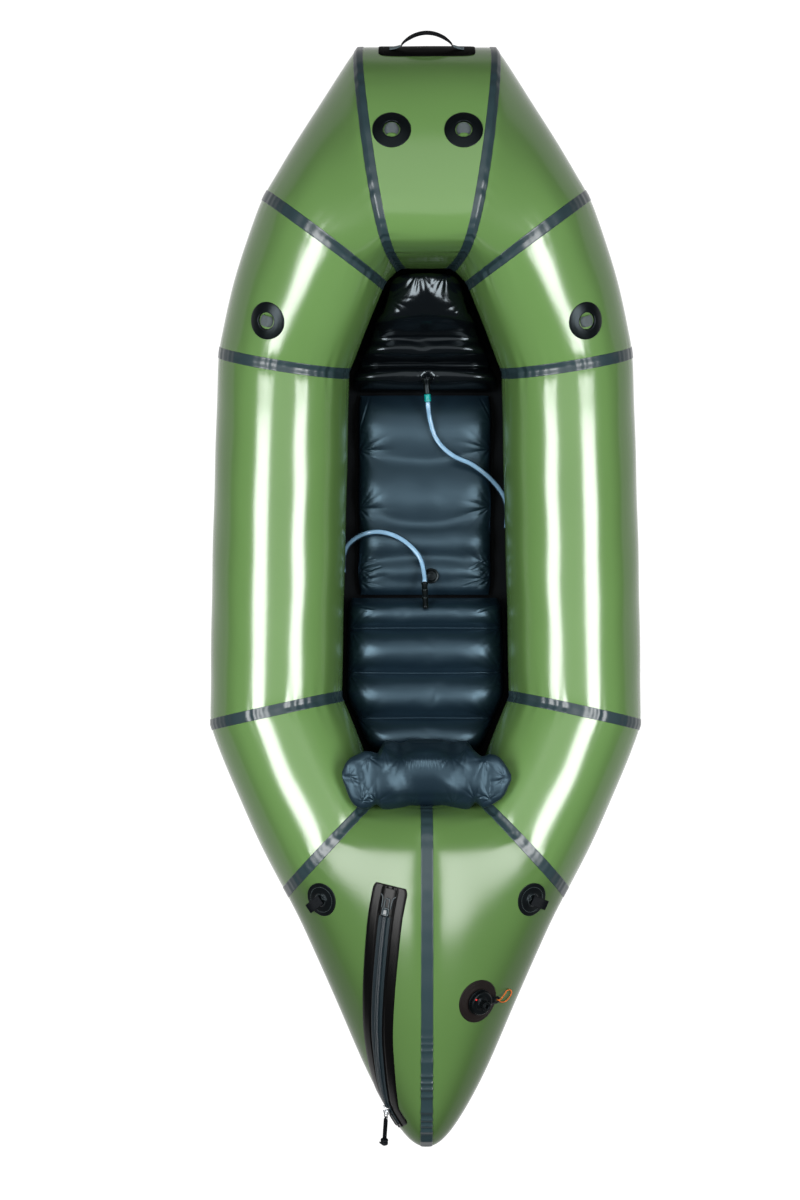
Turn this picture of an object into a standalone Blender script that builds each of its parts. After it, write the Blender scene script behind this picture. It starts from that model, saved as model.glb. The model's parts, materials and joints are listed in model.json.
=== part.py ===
"""One-person packraft: a ring of mitred inflated hull panels round a cockpit with its cushions.

Metres, +Z up. +Y is the bow, +X the right side seen from above. The origin is the middle of
the underside of the floor, which is flat there. The hull is one surface worked out from the
outlines at its seams, and every fitting on it is draped on that surface.
"""
import math

import bmesh
import bpy
import numpy as np
from mathutils import Matrix, Vector

# Hull
HULL_LENGTH = 2.284
HULL_WIDTH = 0.930
TUBE_DIAMETER = 0.283
BOW_RISE = 0.105
STERN_RISE = 0.055
STERN_TIP_TILT = 0.020

# Fabric, clearances
HULL_WALL = 0.0005
FLOOR_WALL = 0.0013
FIT = 0.0003
DRAPE_FIT = 0.0005
DRAPE_DEPTH = 0.0055
CUTTER_DEPTH = 0.0140
SEAM_GAP = 0.0008
TAPE_WIDTH = 0.024
TAPE_WALL = 0.0006
TAPE_FIT = 0.0009
TAPE_FLOOR_GAP = 0.0030
SIDE_CLEARANCE = 0.003
BACK_SINK = 0.0002

# Lash tabs: a moulded disc with a webbing bar over its open middle
LASH_DIAMETER = 0.077
LASH_HOLE = 0.034
LASH_RIM = 0.0014
LASH_CROWN = 0.0045
BAR_WIDTH = 0.022
BAR_THICKNESS = 0.0018
BAR_HEIGHT = 0.0095
BAR_SINK = 0.0010

# Stern loops: a disc with a folded webbing loop
LOOP_DISC_DIAMETER = 0.070
LOOP_DISC_WALL = 0.0014
LOOP_LENGTH = 0.040
LOOP_WIDTH = 0.020
LOOP_WEBBING = 0.0016
LOOP_EYE = 0.0085
LOOP_PAD_SIDE = 0.026
LOOP_PAD_WALL = 0.002

# Bow handle
HANDLE_PATCH_LENGTH = 0.198
HANDLE_PATCH_HEIGHT = 0.066
HANDLE_PATCH_WALL = 0.0014
HANDLE_SPAN = 0.104
HANDLE_REACH = 0.042
HANDLE_WEBBING = 0.0022
HANDLE_WIDTH = 0.020
HANDLE_FOOT_WIDTH = 0.010
HANDLE_STANDOFF = 0.0065
HANDLE_END_GAP = 0.0016
HANDLE_ANCHOR_LENGTH = 0.020
HANDLE_ANCHOR_WALL = 0.0022

# Cargo zip
ZIP_BASE_WIDTH = 0.074
ZIP_BASE_WALL = 0.0012
ZIP_CHAIN_WIDTH = 0.0085
ZIP_CHAIN_HEIGHT = 0.0036
ZIP_CHAIN_SINK = 0.0015
ZIP_TAPE_WIDTH = 0.026
ZIP_TAPE_WALL = 0.0012
ZIP_END_LENGTH = 0.040
ZIP_END_WIDTH = 0.022
ZIP_END_HEIGHT = 0.0055
ZIP_END_GAP = 0.0025
ZIP_TRAVEL = 0.150
SLIDER_LENGTH = 0.021
SLIDER_WIDTH = 0.0170
SLIDER_WALL = 0.0022
SLIDER_LIFT = 0.0016
SLIDER_CLEARANCE = 0.0004
BRIDGE_HEIGHT = 0.0068
BRIDGE_REACH = 0.0142
BRIDGE_WIRE = 0.0026
RING_LENGTH = 0.019
RING_WIDTH = 0.0098
RING_CORNER = 0.0022
RING_WIRE = 0.0016
PULL_HEAD = 0.0048
PULL_HEAD_WIDTH = 0.0036
PULL_LENGTH = 0.058
PULL_WIDTH = 0.0080
PULL_WALL = 0.0028
PULL_KNOT_LENGTH = 0.017
PULL_KNOT_WIDTH = 0.0145
PULL_KNOT_HEIGHT = 0.0115
PULL_TAIL_WIDTH = 0.0050

# Main valve
VALVE_FLANGE_DIAMETER = 0.090
VALVE_FLANGE_WALL = 0.0016
VALVE_NECK_DIAMETER = 0.044
VALVE_NECK_CLEARANCE = 0.0005
VALVE_LIP_DIAMETER = 0.052
VALVE_LIP_HEIGHT = 0.0030
VALVE_SEAT_DIAMETER = 0.056
VALVE_DEPTH = 0.018
VALVE_WALL = 0.0030
VALVE_FLOOR = 0.0028
VENT_DIAMETER = 0.0085
POPPET_STEM = 0.0060
POPPET_CLEARANCE = 0.0004
POPPET_DISC_WALL = 0.0020
POPPET_BUTTON = 0.0110
POPPET_BUTTON_HEIGHT = 0.0030
POPPET_RISE = 0.0095
CAP_DIAMETER = 0.048
CAP_HEIGHT = 0.0080
CAP_WALL = 0.0025
KNOB_DIAMETER = 0.018
KNOB_HEIGHT = 0.017
KNOB_BORE = 0.009
KNOB_BORE_DEPTH = 0.010
TETHER_WALL = 0.0014
TETHER_REACH = 0.050
TETHER_TAB_WIDTH = 0.016
TETHER_EYE = 0.0062
CORD_LOOP_WIRE = 0.0026

# Cushions
# Where the cushions start and end, in shares of the cockpit's length from its rear end
PLACE_SHARES = dict(mat_front=0.78355527, mat_rear=0.38727072, seat_front=0.38370854, seat_rear=0.0773672,
                    brace_rear=0.7888985, brace_front=0.99282923)
MAT_HALF_WIDTH = 0.154
MAT_THICKNESS = 0.052
MAT_WELD_THICKNESS = 0.036
SEAT_HALF_WIDTH = 0.177
SEAT_THICKNESS = 0.094
SEAT_WELD_THICKNESS = 0.066
BRACE_REAR_ROLL = 0.100
BRACE_MIDDLE_ROLL = 0.132
BRACE_TOP = 0.238
CUSHION_RIM = 0.0016
BACK_HALF_WIDTH = 0.175
BACK_THICKNESS = 0.098
BACK_BOTTOM = 0.128
BACK_TOP = 0.338
BACK_STANDOFF = 0.03772415
BACK_LEAN = 0.040
BACK_END_HEIGHT = 0.036

# Hoses and their valves
HOSE_DIAMETER = 0.0125
BARB_LENGTH = 0.016
BARB_DIAMETER = 0.0145
BRACE_NECK_DIAMETER = 0.012
BRACE_NECK_LENGTH = 0.034
SEAT_VALVE_DIAMETER = 0.034
SEAT_VALVE_HEIGHT = 0.0060
SEAT_STEM_DIAMETER = 0.0120
SEAT_STEM_LENGTH = 0.060
SEAT_VALVE_PLACE = (0.014, 0.047)
# The hoses' routes over the cushions, from the foot brace's rear edge and from the seat's
# front edge: the first point is the mouth of the barb
BRACE_HOSE_ROUTE = ((0.006, -0.027, 0.082), (0.007, -0.041, 0.079), (0.011, -0.066, 0.070),
                    (0.022, -0.101, 0.062), (0.040, -0.126, 0.0605), (0.066, -0.146, 0.0605),
                    (0.100, -0.161, 0.0605), (0.128, -0.18, 0.057), (0.150, -0.199, 0.047),
                    (0.168, -0.22, 0.036), (0.180, -0.243, 0.024), (0.184, -0.271, 0.012),
                    (0.182, -0.301, 0.0083))
SEAT_HOSE_ROUTE = ((-0.001, 0.032, 0.0785), (-0.0015, 0.046, 0.0735), (-0.008, 0.079, 0.065),
                   (-0.022, 0.102, 0.0610), (-0.042, 0.121, 0.0605), (-0.068, 0.136, 0.0605),
                   (-0.100, 0.144, 0.0605), (-0.128, 0.141, 0.057), (-0.150, 0.132, 0.047),
                   (-0.168, 0.118, 0.036), (-0.178, 0.1, 0.022), (-0.182, 0.079, 0.011),
                   (-0.181, 0.054, 0.0083))

# The cord loop's way on the hull: right, forward and above the hull
CORD_LOOP_ROUTE = ((0.060, 0.008, 0.0075), (0.072, 0.013, 0.0025), (0.085, 0.010, 0.0012),
                   (0.090, 0.001, 0.0010), (0.083, -0.009, 0.0010), (0.070, -0.013, 0.0010),
                   (0.057, -0.009, 0.0025))

# The outlines at the seams, from bow to tail. x and y place the outer edge in shares of the
# half width and half length; span and depth are in tube diameters; turn is the mitre's
# direction in plan, in degrees from straight aft; rise is a share of the bow's or the stern's;
# egg draws the crown towards the cockpit; lean shifts the crown, in tube diameters.
SEAM_SHARES = {
    "bow": dict(x=0.299, y=1.0, span=1.591, turn=9.6, depth=1.272, egg=0.45, lean=(0.085, 0.0)),
    "shoulder": dict(x=0.729, y=0.743, span=1.105, turn=53.4, depth=1.095, egg=0.10,
                     lean=(0.037, -0.05)),
    "quarter": dict(x=0.956, y=0.468, span=1.004, turn=80.9, depth=0.996, egg=0.0,
                    lean=(0.0, -0.092)),
    "hip": dict(x=0.9946, y=-0.2356, span=1.0216, turn=102.3, depth=0.993, egg=0.0,
                lean=(0.0, 0.03)),
    "stern": dict(x=0.6376, y=-0.5442, span=1.035, turn=136.5, depth=1.025, egg=0.05,
                  lean=(0.034, 0.032)),
    "tail": dict(x=0.0, y=-1.0, span=2.534, turn=180.0, depth=1.237, egg=0.50, lean=(0.0, 0.0)),
}
RISE_SHARES = {"bow": 1.0, "shoulder": 0.76, "stern": 0.71, "tail": 1.0}
SEAMS = list(SEAM_SHARES)
PANEL_SEAMS = list(zip(SEAMS[:-1], SEAMS[1:]))
PANEL_NAMES = ("bow_shoulder", "bow_quarter", "side", "stern_quarter", "stern")
# How far the cloth bulges past the straight line between two seams, in tube diameters
BULGE_SHARES = (0.042, 0.141, 0.042, 0.106, 0.0)
# How the cloth of the stern panel leaves one seam and meets the other, in chords
TAIL_TANGENT_SHARES = (1.1, 0.86)

AROUND = 24
WRAP_STEPS = 2
# Rows along each panel
ROW_SHARES = {"bow": (0.0, 1.0), 0: (0.0, 0.2, 0.5, 0.8, 1.0), 1: (0.0, 0.2, 0.5, 0.8, 1.0),
              2: (0.0, 0.5, 1.0), 3: (0.0, 0.2, 0.5, 0.8, 1.0),
              4: (0.0, 0.12, 0.28, 0.44, 0.6, 0.76, 0.9, 1.0)}
SLOPE_STEP_SHARE = 0.0001
DRAPE_ROUNDS = 8
SHARP_DEGREES = 40

# Places on the hull: shares along a panel, and angles round the tube in degrees
BOW_LASH_SHARE = 0.57
BOW_LASH_ANGLE = 65.0
SIDE_LASH_SHARE = 0.71
SIDE_LASH_ANGLE = 70.0
SIDE_LASH_SLANT = 20.0
STERN_LOOP_SHARE = 0.145
STERN_LOOP_ANGLE = 56.0
STERN_LOOP_TURNS = {"left": 215.0, "right": -22.0}
HANDLE_ANGLE = 16.5
HANDLE_REST_ANGLE = 27.0
VALVE_SHARE = 0.575
VALVE_ANGLE = 50.0

# Turned and draped profiles, in shares of the radius and of the rise
LASH_PROFILE_SHARES = dict(inner=0.50, crown=0.64, slope=0.80, edge=0.96)
LOOP_RIM_SHARE = 0.97
LOOP_SWELL_SHARES = (0.55, 0.45)
LOOP_ROOT_SHARE = 0.12
FLANGE_RIM_SHARE = 0.95
PATCH_CORNER_SHARE = 0.3
HANDLE_ARCH_POWER_SHARE = 1.25
HANDLE_FOOT_SHARE = 0.33
BARB_PROFILE_SHARES = ((0.0, 0.0), (0.8, 0.0), (1.0, 0.12), (1.0, 0.8), (0.85, 1.0), (0.0, 1.0))
SEAT_VALVE_PROFILE_SHARES = ((1.0, 0.4), (0.6, 1.0), (0.0, 1.0))
VENTS = 5

# The zip's route on the left stern panel, from its top end to the tail: shares along the
# panel, and angles round the tube in degrees
ZIP_ROUTE_SHARES = ((0.605, 90.5), (0.585, 78.5), (0.585, 65.5), (0.59, 53.5), (0.605, 41.0),
                    (0.635, 31.0), (0.665, 22.0), (0.70, 14.0), (0.765, 11.5), (0.80, 11.2))
ZIP_STATIONS = 21
ZIP_REST_SHARE = 0.915
ZIP_BLEND_SHARE = 0.10
ZIP_CORNER_SHARE = 0.82
CHAIN_SECTION_SHARES = ((-1.0, -1.0), (-1.0, 0.0), (-0.5, 1.0), (0.0, 0.6), (0.5, 1.0),
                        (1.0, 0.0), (1.0, -1.0))
BLOCK_SECTION_SHARES = ((-1.0, -0.4), (-1.0, 0.6), (-0.7, 1.0), (-0.25, 1.0), (0.0, 0.75),
                        (0.25, 1.0), (0.7, 1.0), (1.0, 0.6), (1.0, -0.4))
BLOCK_END_SHARE = 0.7
BLOCK_START_SHARE = 0.5
BLOCK_STOP_SHARE = 1.6
BLOCK_FINISH_SHARE = 0.11
BRIDGE_SHARES = ((-1.0, 0.0), (-0.94, 0.6), (-0.55, 1.0), (0.55, 1.0), (0.94, 0.6), (1.0, 0.0))
# The directions of the ring and of its pull at rest: across, along the zip, outwards
RING_WAY_SHARES = (0.10, 0.98, 0.17)
PULL_WAY_SHARES = (0.24, 0.95, 0.17)
PULL_TAIL_SHARES = ((0.0, 0.0), (0.4, 0.5), (0.9, 0.75))

# Cushions: shares along, from the rear edge
MAT_WELD_SHARES = (0.0, 0.125, 0.44, 0.70, 1.0)
SEAT_WELD_SHARES = (0.0, 0.23, 0.515, 0.805, 1.0)
SWELL_SHARES = (0.08, 0.28, 0.5, 0.72, 0.92)
SWELL_POWER_SHARE = 0.55
CUSHION_RIM_SHARE = 0.42
CUSHION_END_SHARES = (0.012, 0.62)
CUSHION_END_WIDTH_SHARE = 0.93
PILLOW_POWER_SHARES = dict(side=0.42, top=0.72, bottom=0.5)
PILLOW_POINTS = 16
# The foot brace: the roll that gives the height, the share along, the share of that height
BRACE_ROLL_SHARES = (("rear", 0.02, 0.62), ("rear", 0.07, 0.92), ("rear", 0.12, 1.0),
                     ("rear", 0.17, 0.92), ("rear", 0.23, 0.66), ("middle", 0.28, 0.75),
                     ("middle", 0.32, 0.95), ("middle", 0.37, 1.0), ("middle", 0.42, 0.95),
                     ("middle", 0.46, 0.90), ("top", 0.54, 0.63), ("top", 0.66, 0.76),
                     ("top", 0.78, 0.90), ("top", 0.88, 0.98), ("top", 0.95, 1.0),
                     ("top", 0.985, 0.96))
BRACE_REAR_END_SHARES = (0.96, 0.35)
BRACE_FRONT_END_SHARES = (0.90, 0.86)
BRACE_RIM_SHARE = 0.45
# The backrest: where its underside starts to rise and how far that takes, in half widths
BACK_RISE_SHARES = (0.28, 0.42)
BACK_DROP_SHARE = 0.12
BACK_PINCH_SHARE = 0.05
BACK_SLIM_SHARE = 0.15
BACK_ROUND_SHARE = 0.8
BACK_SEATED_SHARE = 0.55
BACK_STATIONS = 17
BACK_POINTS = 14

GREEN = (0.165, 0.285, 0.105)
BLACK = (0.012, 0.013, 0.015)
TAPE_GREY = (0.018, 0.026, 0.034)
SEAT_BLUE = (0.010, 0.016, 0.024)
STEEL = (0.62, 0.64, 0.66)
TEAL = (0.010, 0.33, 0.34)
CLEAR_BLUE = (0.40, 0.62, 0.75)
ORANGE = (0.85, 0.27, 0.03)
MATERIALS = {
    "hull_green": (GREEN, 0.32, 0.0),
    "tape_grey": (TAPE_GREY, 0.45, 0.0),
    "floor_black": (BLACK, 0.5, 0.0),
    "seat_cloth": (SEAT_BLUE, 0.38, 0.0),
    "brace_black": (BLACK, 0.18, 0.0),
    "rubber_black": (BLACK, 0.6, 0.0),
    "webbing_black": (BLACK, 0.75, 0.0),
    "slider_metal": (STEEL, 0.25, 1.0),
    "barb_teal": (TEAL, 0.3, 0.0),
    "hose_clear": (CLEAR_BLUE, 0.15, 0.0),
    "cord_orange": (ORANGE, 0.6, 0.0),
}

for old in list(bpy.data.objects):
    bpy.data.objects.remove(old, do_unlink=True)
MODEL = bpy.data.collections.new("packraft")
CUTTERS = bpy.data.collections.new("packraft_cutters")
bpy.context.scene.collection.children.link(MODEL)
bpy.context.scene.collection.children.link(CUTTERS)


def material(name):
    """The named material, made on first use."""
    found = bpy.data.materials.get(name)
    if found:
        return found
    colour, roughness, metallic = MATERIALS[name]
    made = bpy.data.materials.new(name)
    made.use_nodes = True
    shader = made.node_tree.nodes["Principled BSDF"]
    shader.inputs["Base Color"].default_value = (*colour, 1.0)
    shader.inputs["Roughness"].default_value = roughness
    shader.inputs["Metallic"].default_value = metallic
    made.diffuse_color = (*colour, 1.0)
    return made


def add_object(name, mesh, finish, origin=None):
    """An object of the model; with an origin, the mesh stays in place round that point."""
    piece = bpy.data.objects.new(name, mesh)
    MODEL.objects.link(piece)
    mesh.materials.clear()
    mesh.materials.append(material(finish))
    if origin is not None:
        mesh.transform(Matrix.Translation(-Vector(origin)))
        piece.location = Vector(origin)
    mesh.shade_smooth()
    mesh.set_sharp_from_angle(angle=math.radians(SHARP_DEGREES))
    return piece


def mesh_from(bm, name):
    """A mesh from a bmesh whose faces are turned outwards."""
    bmesh.ops.recalc_face_normals(bm, faces=bm.faces)
    mesh = bpy.data.meshes.new(name)
    bm.to_mesh(mesh)
    bm.free()
    return mesh


def grid_bmesh(points, wrap_rows=False, wrap_columns=False):
    """Triangles between the rows and columns of an array of points, its doubles merged.

    Every four points are split along the shorter diagonal, so that two sheets through the same
    points lie on one another.
    """
    bm = bmesh.new()
    rows, columns = points.shape[:2]
    verts = [[bm.verts.new(points[i, j]) for j in range(columns)] for i in range(rows)]
    for i in range(rows if wrap_rows else rows - 1):
        for j in range(columns if wrap_columns else columns - 1):
            k, m = (i + 1) % rows, (j + 1) % columns
            bm.faces.new((verts[i][j], verts[i][m], verts[k][m], verts[k][j]))
    bmesh.ops.remove_doubles(bm, verts=bm.verts, dist=FIT / 100)
    bmesh.ops.dissolve_degenerate(bm, edges=bm.edges, dist=FIT / 100)
    bmesh.ops.triangulate(bm, faces=bm.faces, quad_method="SHORT_EDGE")
    return bm


def solidify(piece, thickness, offset):
    """Give an open surface a wall: offset 1 builds it outwards, -1 inwards, 0 both ways."""
    wall = piece.modifiers.new("wall", "SOLIDIFY")
    wall.thickness = thickness
    wall.offset = offset
    return piece


def sheet(name, points, finish, thickness, offset=1.0, wrap_rows=False, wrap_columns=False,
          origin=None):
    """A sheet of cloth or webbing: an open surface through the points, with a wall."""
    mesh = mesh_from(grid_bmesh(points, wrap_rows, wrap_columns), name)
    return solidify(add_object(name, mesh, finish, origin), thickness, offset)


def lofted(name, sections, finish, origin=None):
    """A closed solid through closed sections of equal counts, capped at both ends."""
    bm = grid_bmesh(sections, wrap_columns=True)
    bmesh.ops.holes_fill(bm, edges=[edge for edge in bm.edges if edge.is_boundary])
    return add_object(name, mesh_from(bm, name), finish, origin)


def unit(vector):
    """The vector at length one, along the last axis."""
    return vector / np.linalg.norm(vector, axis=-1, keepdims=True)


def axes_matrix(origin, axis_x, axis_y, axis_z):
    """The matrix that places local axes on the given ones."""
    columns = np.eye(4)
    columns[:3, 0], columns[:3, 1], columns[:3, 2], columns[:3, 3] = axis_x, axis_y, axis_z, origin
    return Matrix([list(map(float, row)) for row in columns])


def seam_outline(seam, angle):
    """Points on the hull's outline at a seam of the right side.

    The angle is 0 at the outer edge, a quarter turn at the crown and half a turn at the
    cockpit. centre + across (cos - egg sin^2) + up sin, where across runs from the middle to
    the outer edge and up carries the half depth and the lean of the crown.
    """
    share = SEAM_SHARES[seam]
    turn = math.radians(share["turn"])
    half_depth = share["depth"] * TUBE_DIAMETER / 2
    rise = STERN_RISE if seam in ("stern", "tail") else BOW_RISE
    height = FLOOR_WALL + FIT + RISE_SHARES.get(seam, 0.0) * rise + half_depth
    outer = np.array((share["x"] * HULL_WIDTH / 2, share["y"] * HULL_LENGTH / 2, height))
    inward = np.array((-math.sin(turn), -math.cos(turn), 0.0))
    half = -inward * share["span"] * TUBE_DIAMETER / 2
    centre = outer - half
    if seam == "tail":
        half = half + np.array((0.0, 0.0, STERN_TIP_TILT))
    lean_x, lean_y = share["lean"]
    up = np.array((lean_x * TUBE_DIAMETER, lean_y * TUBE_DIAMETER, half_depth))
    angle = np.asarray(angle, float)[..., None]
    return centre + (np.cos(angle) - share["egg"] * np.sin(angle) ** 2) * half + np.sin(angle) * up


def hull_point(panel, side, along, angle):
    """Points on the hull: panel is a number from bow_shoulder to stern, or "bow".

    Between two seams the cloth runs straight from one outline to the other and bulges
    outwards by a share that is greatest half way and at the outer edge. The stern panel
    follows a cubic curve instead, so that it meets its twin on the centre line square on.
    """
    along, angle = np.broadcast_arrays(np.asarray(along, float), np.asarray(angle, float))
    part = along[..., None]
    if panel == "bow":
        points = seam_outline("bow", angle).copy()
        points[..., 0] *= 1 - 2 * along
        return points
    fore, aft = PANEL_SEAMS[panel]
    start, end = seam_outline(fore, angle), seam_outline(aft, angle)
    chord = end - start
    if aft == "tail":
        leave = TAIL_TANGENT_SHARES[0] * chord
        meet = TAIL_TANGENT_SHARES[1] * chord * np.array((1.0, 0.0, 0.0))
        points = ((2 * part ** 3 - 3 * part ** 2 + 1) * start
                  + (part ** 3 - 2 * part ** 2 + part) * leave
                  + (3 * part ** 2 - 2 * part ** 3) * end + (part ** 3 - part ** 2) * meet)
    else:
        outward = sum(unit(seam_outline(s, 0.0) - seam_outline(s, math.pi)) for s in (fore, aft))
        outward = unit(outward * np.array((1.0, 1.0, 0.0)))
        bulge = BULGE_SHARES[panel] * TUBE_DIAMETER * (1 + np.cos(angle))[..., None] / 2
        points = start + part * chord + part * (1 - part) * bulge * outward
    if side == "left":
        points = points * np.array((-1.0, 1.0, 1.0))
    return points


def hull_slopes(panel, side, along, angle):
    """How the hull point moves with each of its two parameters, by small differences."""
    small = SLOPE_STEP_SHARE
    by_along = (hull_point(panel, side, along + small, angle)
                - hull_point(panel, side, along - small, angle)) / (2 * small)
    by_angle = (hull_point(panel, side, along, angle + small)
                - hull_point(panel, side, along, angle - small)) / (2 * small)
    return by_along, by_angle


def hull_normal(panel, side, along, angle):
    """The hull's outward normal."""
    by_along, by_angle = hull_slopes(panel, side, along, angle)
    normal = unit(np.cross(by_angle, by_along))
    return -normal if side == "left" or panel == "bow" else normal


class Spot:
    """A place on the hull: its point, and axes to the right, to the bow and outwards."""

    def __init__(self, panel, side, along, angle):
        self.panel, self.side, self.along, self.angle = panel, side, along, angle
        self.point = hull_point(panel, side, along, angle)
        self.out = hull_normal(panel, side, along, angle)
        forward = np.array((0.0, 1.0, 0.0))
        self.forward = unit(forward - forward.dot(self.out) * self.out)
        self.right = np.cross(self.forward, self.out)

    def drape(self, right, forward):
        """Hull points and normals at tangent-plane offsets from the spot.

        Newton's method: the two surface parameters are stepped until the hull point lies at
        the wanted offsets along the spot's own axes.
        """
        along = np.full(np.shape(right), self.along)
        angle = np.full(np.shape(right), self.angle)
        for _ in range(DRAPE_ROUNDS):
            offset = hull_point(self.panel, self.side, along, angle) - self.point
            miss_right, miss_forward = right - offset @ self.right, forward - offset @ self.forward
            by_along, by_angle = hull_slopes(self.panel, self.side, along, angle)
            a, b = by_along @ self.right, by_angle @ self.right
            c, d = by_along @ self.forward, by_angle @ self.forward
            scale = a * d - b * c
            along = along + (d * miss_right - b * miss_forward) / scale
            angle = angle + (a * miss_forward - c * miss_right) / scale
        return (hull_point(self.panel, self.side, along, angle),
                hull_normal(self.panel, self.side, along, angle))

    def place(self, right, forward, out):
        """A point at offsets along the spot's axes, without draping."""
        return (self.point + np.asarray(right)[..., None] * self.right
                + np.asarray(forward)[..., None] * self.forward
                + np.asarray(out)[..., None] * self.out)


def circle(radius):
    """An outline for draped_plate: a circle."""
    return lambda angle: (radius * np.cos(angle), radius * np.sin(angle))


def rounded_oblong(length, height, power):
    """An outline for draped_plate: an oblong with round corners, as a superellipse."""
    def outline(angle):
        cos, sin = np.cos(angle), np.sin(angle)
        return (length / 2 * np.sign(cos) * np.abs(cos) ** power,
                height / 2 * np.sign(sin) * np.abs(sin) ** power)
    return outline


def draped_plate(name, spot, outline, profile, finish, segments, ring=False):
    """A plate on the hull: a profile of (share of the outline, height) carried round it.

    The profile reaches into the hull, and the hull's own cloth with a fit over it cuts the
    underside, so that the plate follows every facet below it.
    """
    angle = np.linspace(0, 2 * math.pi, segments, endpoint=False)
    edge_x, edge_y = outline(angle)
    rows = []
    for share, height in profile:
        points, normals = spot.drape(share * edge_x, share * edge_y)
        rows.append(points + normals * height)
    bm = grid_bmesh(np.array(rows), wrap_rows=ring, wrap_columns=True)
    plate = add_object(name, mesh_from(bm, name), finish)
    boolean(plate, hull_cutter(spot.panel, spot.side))
    return plate


def turned(name, profile, finish, matrix, steps=24, origin=None):
    """A turned solid: a profile of (radius, height) screwed round the local Z axis."""
    mesh = bpy.data.meshes.new(name)
    count = len(profile)
    open_ends = profile[0][0] == 0
    edges = [(i, (i + 1) % count) for i in range(count - 1 if open_ends else count)]
    mesh.from_pydata([(radius, 0.0, height) for radius, height in profile], edges, [])
    piece = bpy.data.objects.new(name, mesh)
    MODEL.objects.link(piece)
    screw = piece.modifiers.new("turn", "SCREW")
    screw.steps = screw.render_steps = steps
    screw.use_merge_vertices = True
    screw.merge_threshold = FIT / 10
    screw.use_normal_calculate = True
    return finished(piece, name, finish, matrix, origin)


def finished(piece, name, finish, matrix, origin=None):
    """Apply an object's modifiers, put its mesh where the matrix says, faces outwards."""
    bpy.context.view_layer.update()
    evaluated = piece.evaluated_get(bpy.context.evaluated_depsgraph_get())
    mesh = bpy.data.meshes.new_from_object(evaluated)
    bpy.data.objects.remove(piece, do_unlink=True)
    mesh.transform(matrix)
    bm = bmesh.new()
    bm.from_mesh(mesh)
    bmesh.ops.remove_doubles(bm, verts=bm.verts, dist=FIT / 30)
    bmesh.ops.recalc_face_normals(bm, faces=bm.faces)
    bm.to_mesh(mesh)
    bm.free()
    mesh.name = name
    return add_object(name, mesh, finish, origin)


def tube(name, points, radius, finish, resolution=2, cyclic=False, origin=None):
    """A round bar or cord: a poly curve with a bevel and filled caps, made a mesh."""
    curve = bpy.data.curves.new(name, "CURVE")
    curve.dimensions = "3D"
    curve.bevel_depth = radius
    curve.bevel_resolution = resolution
    curve.use_fill_caps = True
    spline = curve.splines.new("POLY")
    spline.points.add(len(points) - 1)
    for spot, point in zip(spline.points, points):
        spot.co = (*map(float, point), 1.0)
    spline.use_cyclic_u = cyclic
    piece = bpy.data.objects.new(name, curve)
    MODEL.objects.link(piece)
    return finished(piece, name, finish, Matrix.Identity(4), origin)


def smooth_route(knots, count):
    """Evenly spread points of a Catmull-Rom curve through the knots."""
    knots = np.asarray(knots, float)
    padded = np.vstack((2 * knots[0] - knots[1], knots, 2 * knots[-1] - knots[-2]))
    fine = []
    for i in range(len(knots) - 1):
        p0, p1, p2, p3 = padded[i:i + 4]
        part = np.linspace(0, 1, 40, endpoint=i == len(knots) - 2)[:, None]
        fine.append(0.5 * (2 * p1 + (p2 - p0) * part + (2 * p0 - 5 * p1 + 4 * p2 - p3) * part ** 2
                           + (3 * p1 - p0 - 3 * p2 + p3) * part ** 3))
    fine = np.vstack(fine)
    run = np.append(0.0, np.cumsum(np.linalg.norm(np.diff(fine, axis=0), axis=1)))
    even = np.linspace(0, run[-1], count)
    return np.stack([np.interp(even, run, fine[:, k]) for k in range(3)], axis=1)


def helper(name, mesh):
    """An object that only joins or cuts another, left out of the model."""
    piece = bpy.data.objects.new(name, mesh)
    CUTTERS.objects.link(piece)
    piece.hide_render = True
    piece.display_type = "WIRE"
    return piece


def as_helper(piece):
    """Move an object of the model to the helpers."""
    MODEL.objects.unlink(piece)
    CUTTERS.objects.link(piece)
    piece.hide_render = True
    piece.display_type = "WIRE"
    return piece


def round_helper(name, radius, depth, matrix, vertices=24):
    """A round helper along local Z."""
    bm = bmesh.new()
    bmesh.ops.create_cone(bm, cap_ends=True, segments=vertices, radius1=radius, radius2=radius,
                          depth=depth, matrix=matrix)
    return helper(name, mesh_from(bm, name))


def box_mesh(name, size, matrix):
    """A box of the given size round the matrix's origin."""
    bm = bmesh.new()
    bmesh.ops.create_cube(bm, size=1.0)
    bmesh.ops.scale(bm, verts=bm.verts, vec=size)
    bmesh.ops.transform(bm, verts=bm.verts, matrix=matrix)
    return mesh_from(bm, name)


def grown(piece, distance):
    """A helper like a piece with every point moved outwards: it cuts what rests on the piece."""
    bpy.context.view_layer.update()
    evaluated = piece.evaluated_get(bpy.context.evaluated_depsgraph_get())
    mesh = bpy.data.meshes.new_from_object(evaluated)
    for vertex, place in zip(mesh.vertices, [v.co + v.normal * distance for v in mesh.vertices]):
        vertex.co = place
    return helper(f"{piece.name}_grown", mesh)


def boolean(piece, other, operation="DIFFERENCE"):
    """Cut or join a piece with another object."""
    step = piece.modifiers.new(operation.lower(), "BOOLEAN")
    step.operation = operation
    step.object = other


def panel_grid(panel, side, shares):
    """A panel's open surface, its end rows held back from the seams by half the seam gap."""
    angle = np.linspace(0, 2 * math.pi, AROUND, endpoint=False)
    rows = []
    for share in shares:
        by_along, _ = hull_slopes(panel, side, share, angle)
        held = SEAM_GAP / 2 / np.linalg.norm(by_along, axis=-1)
        along = np.clip(np.full(AROUND, share), held, 1 - held)
        rows.append(hull_point(panel, side, along, angle))
    return np.array(rows)


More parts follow.
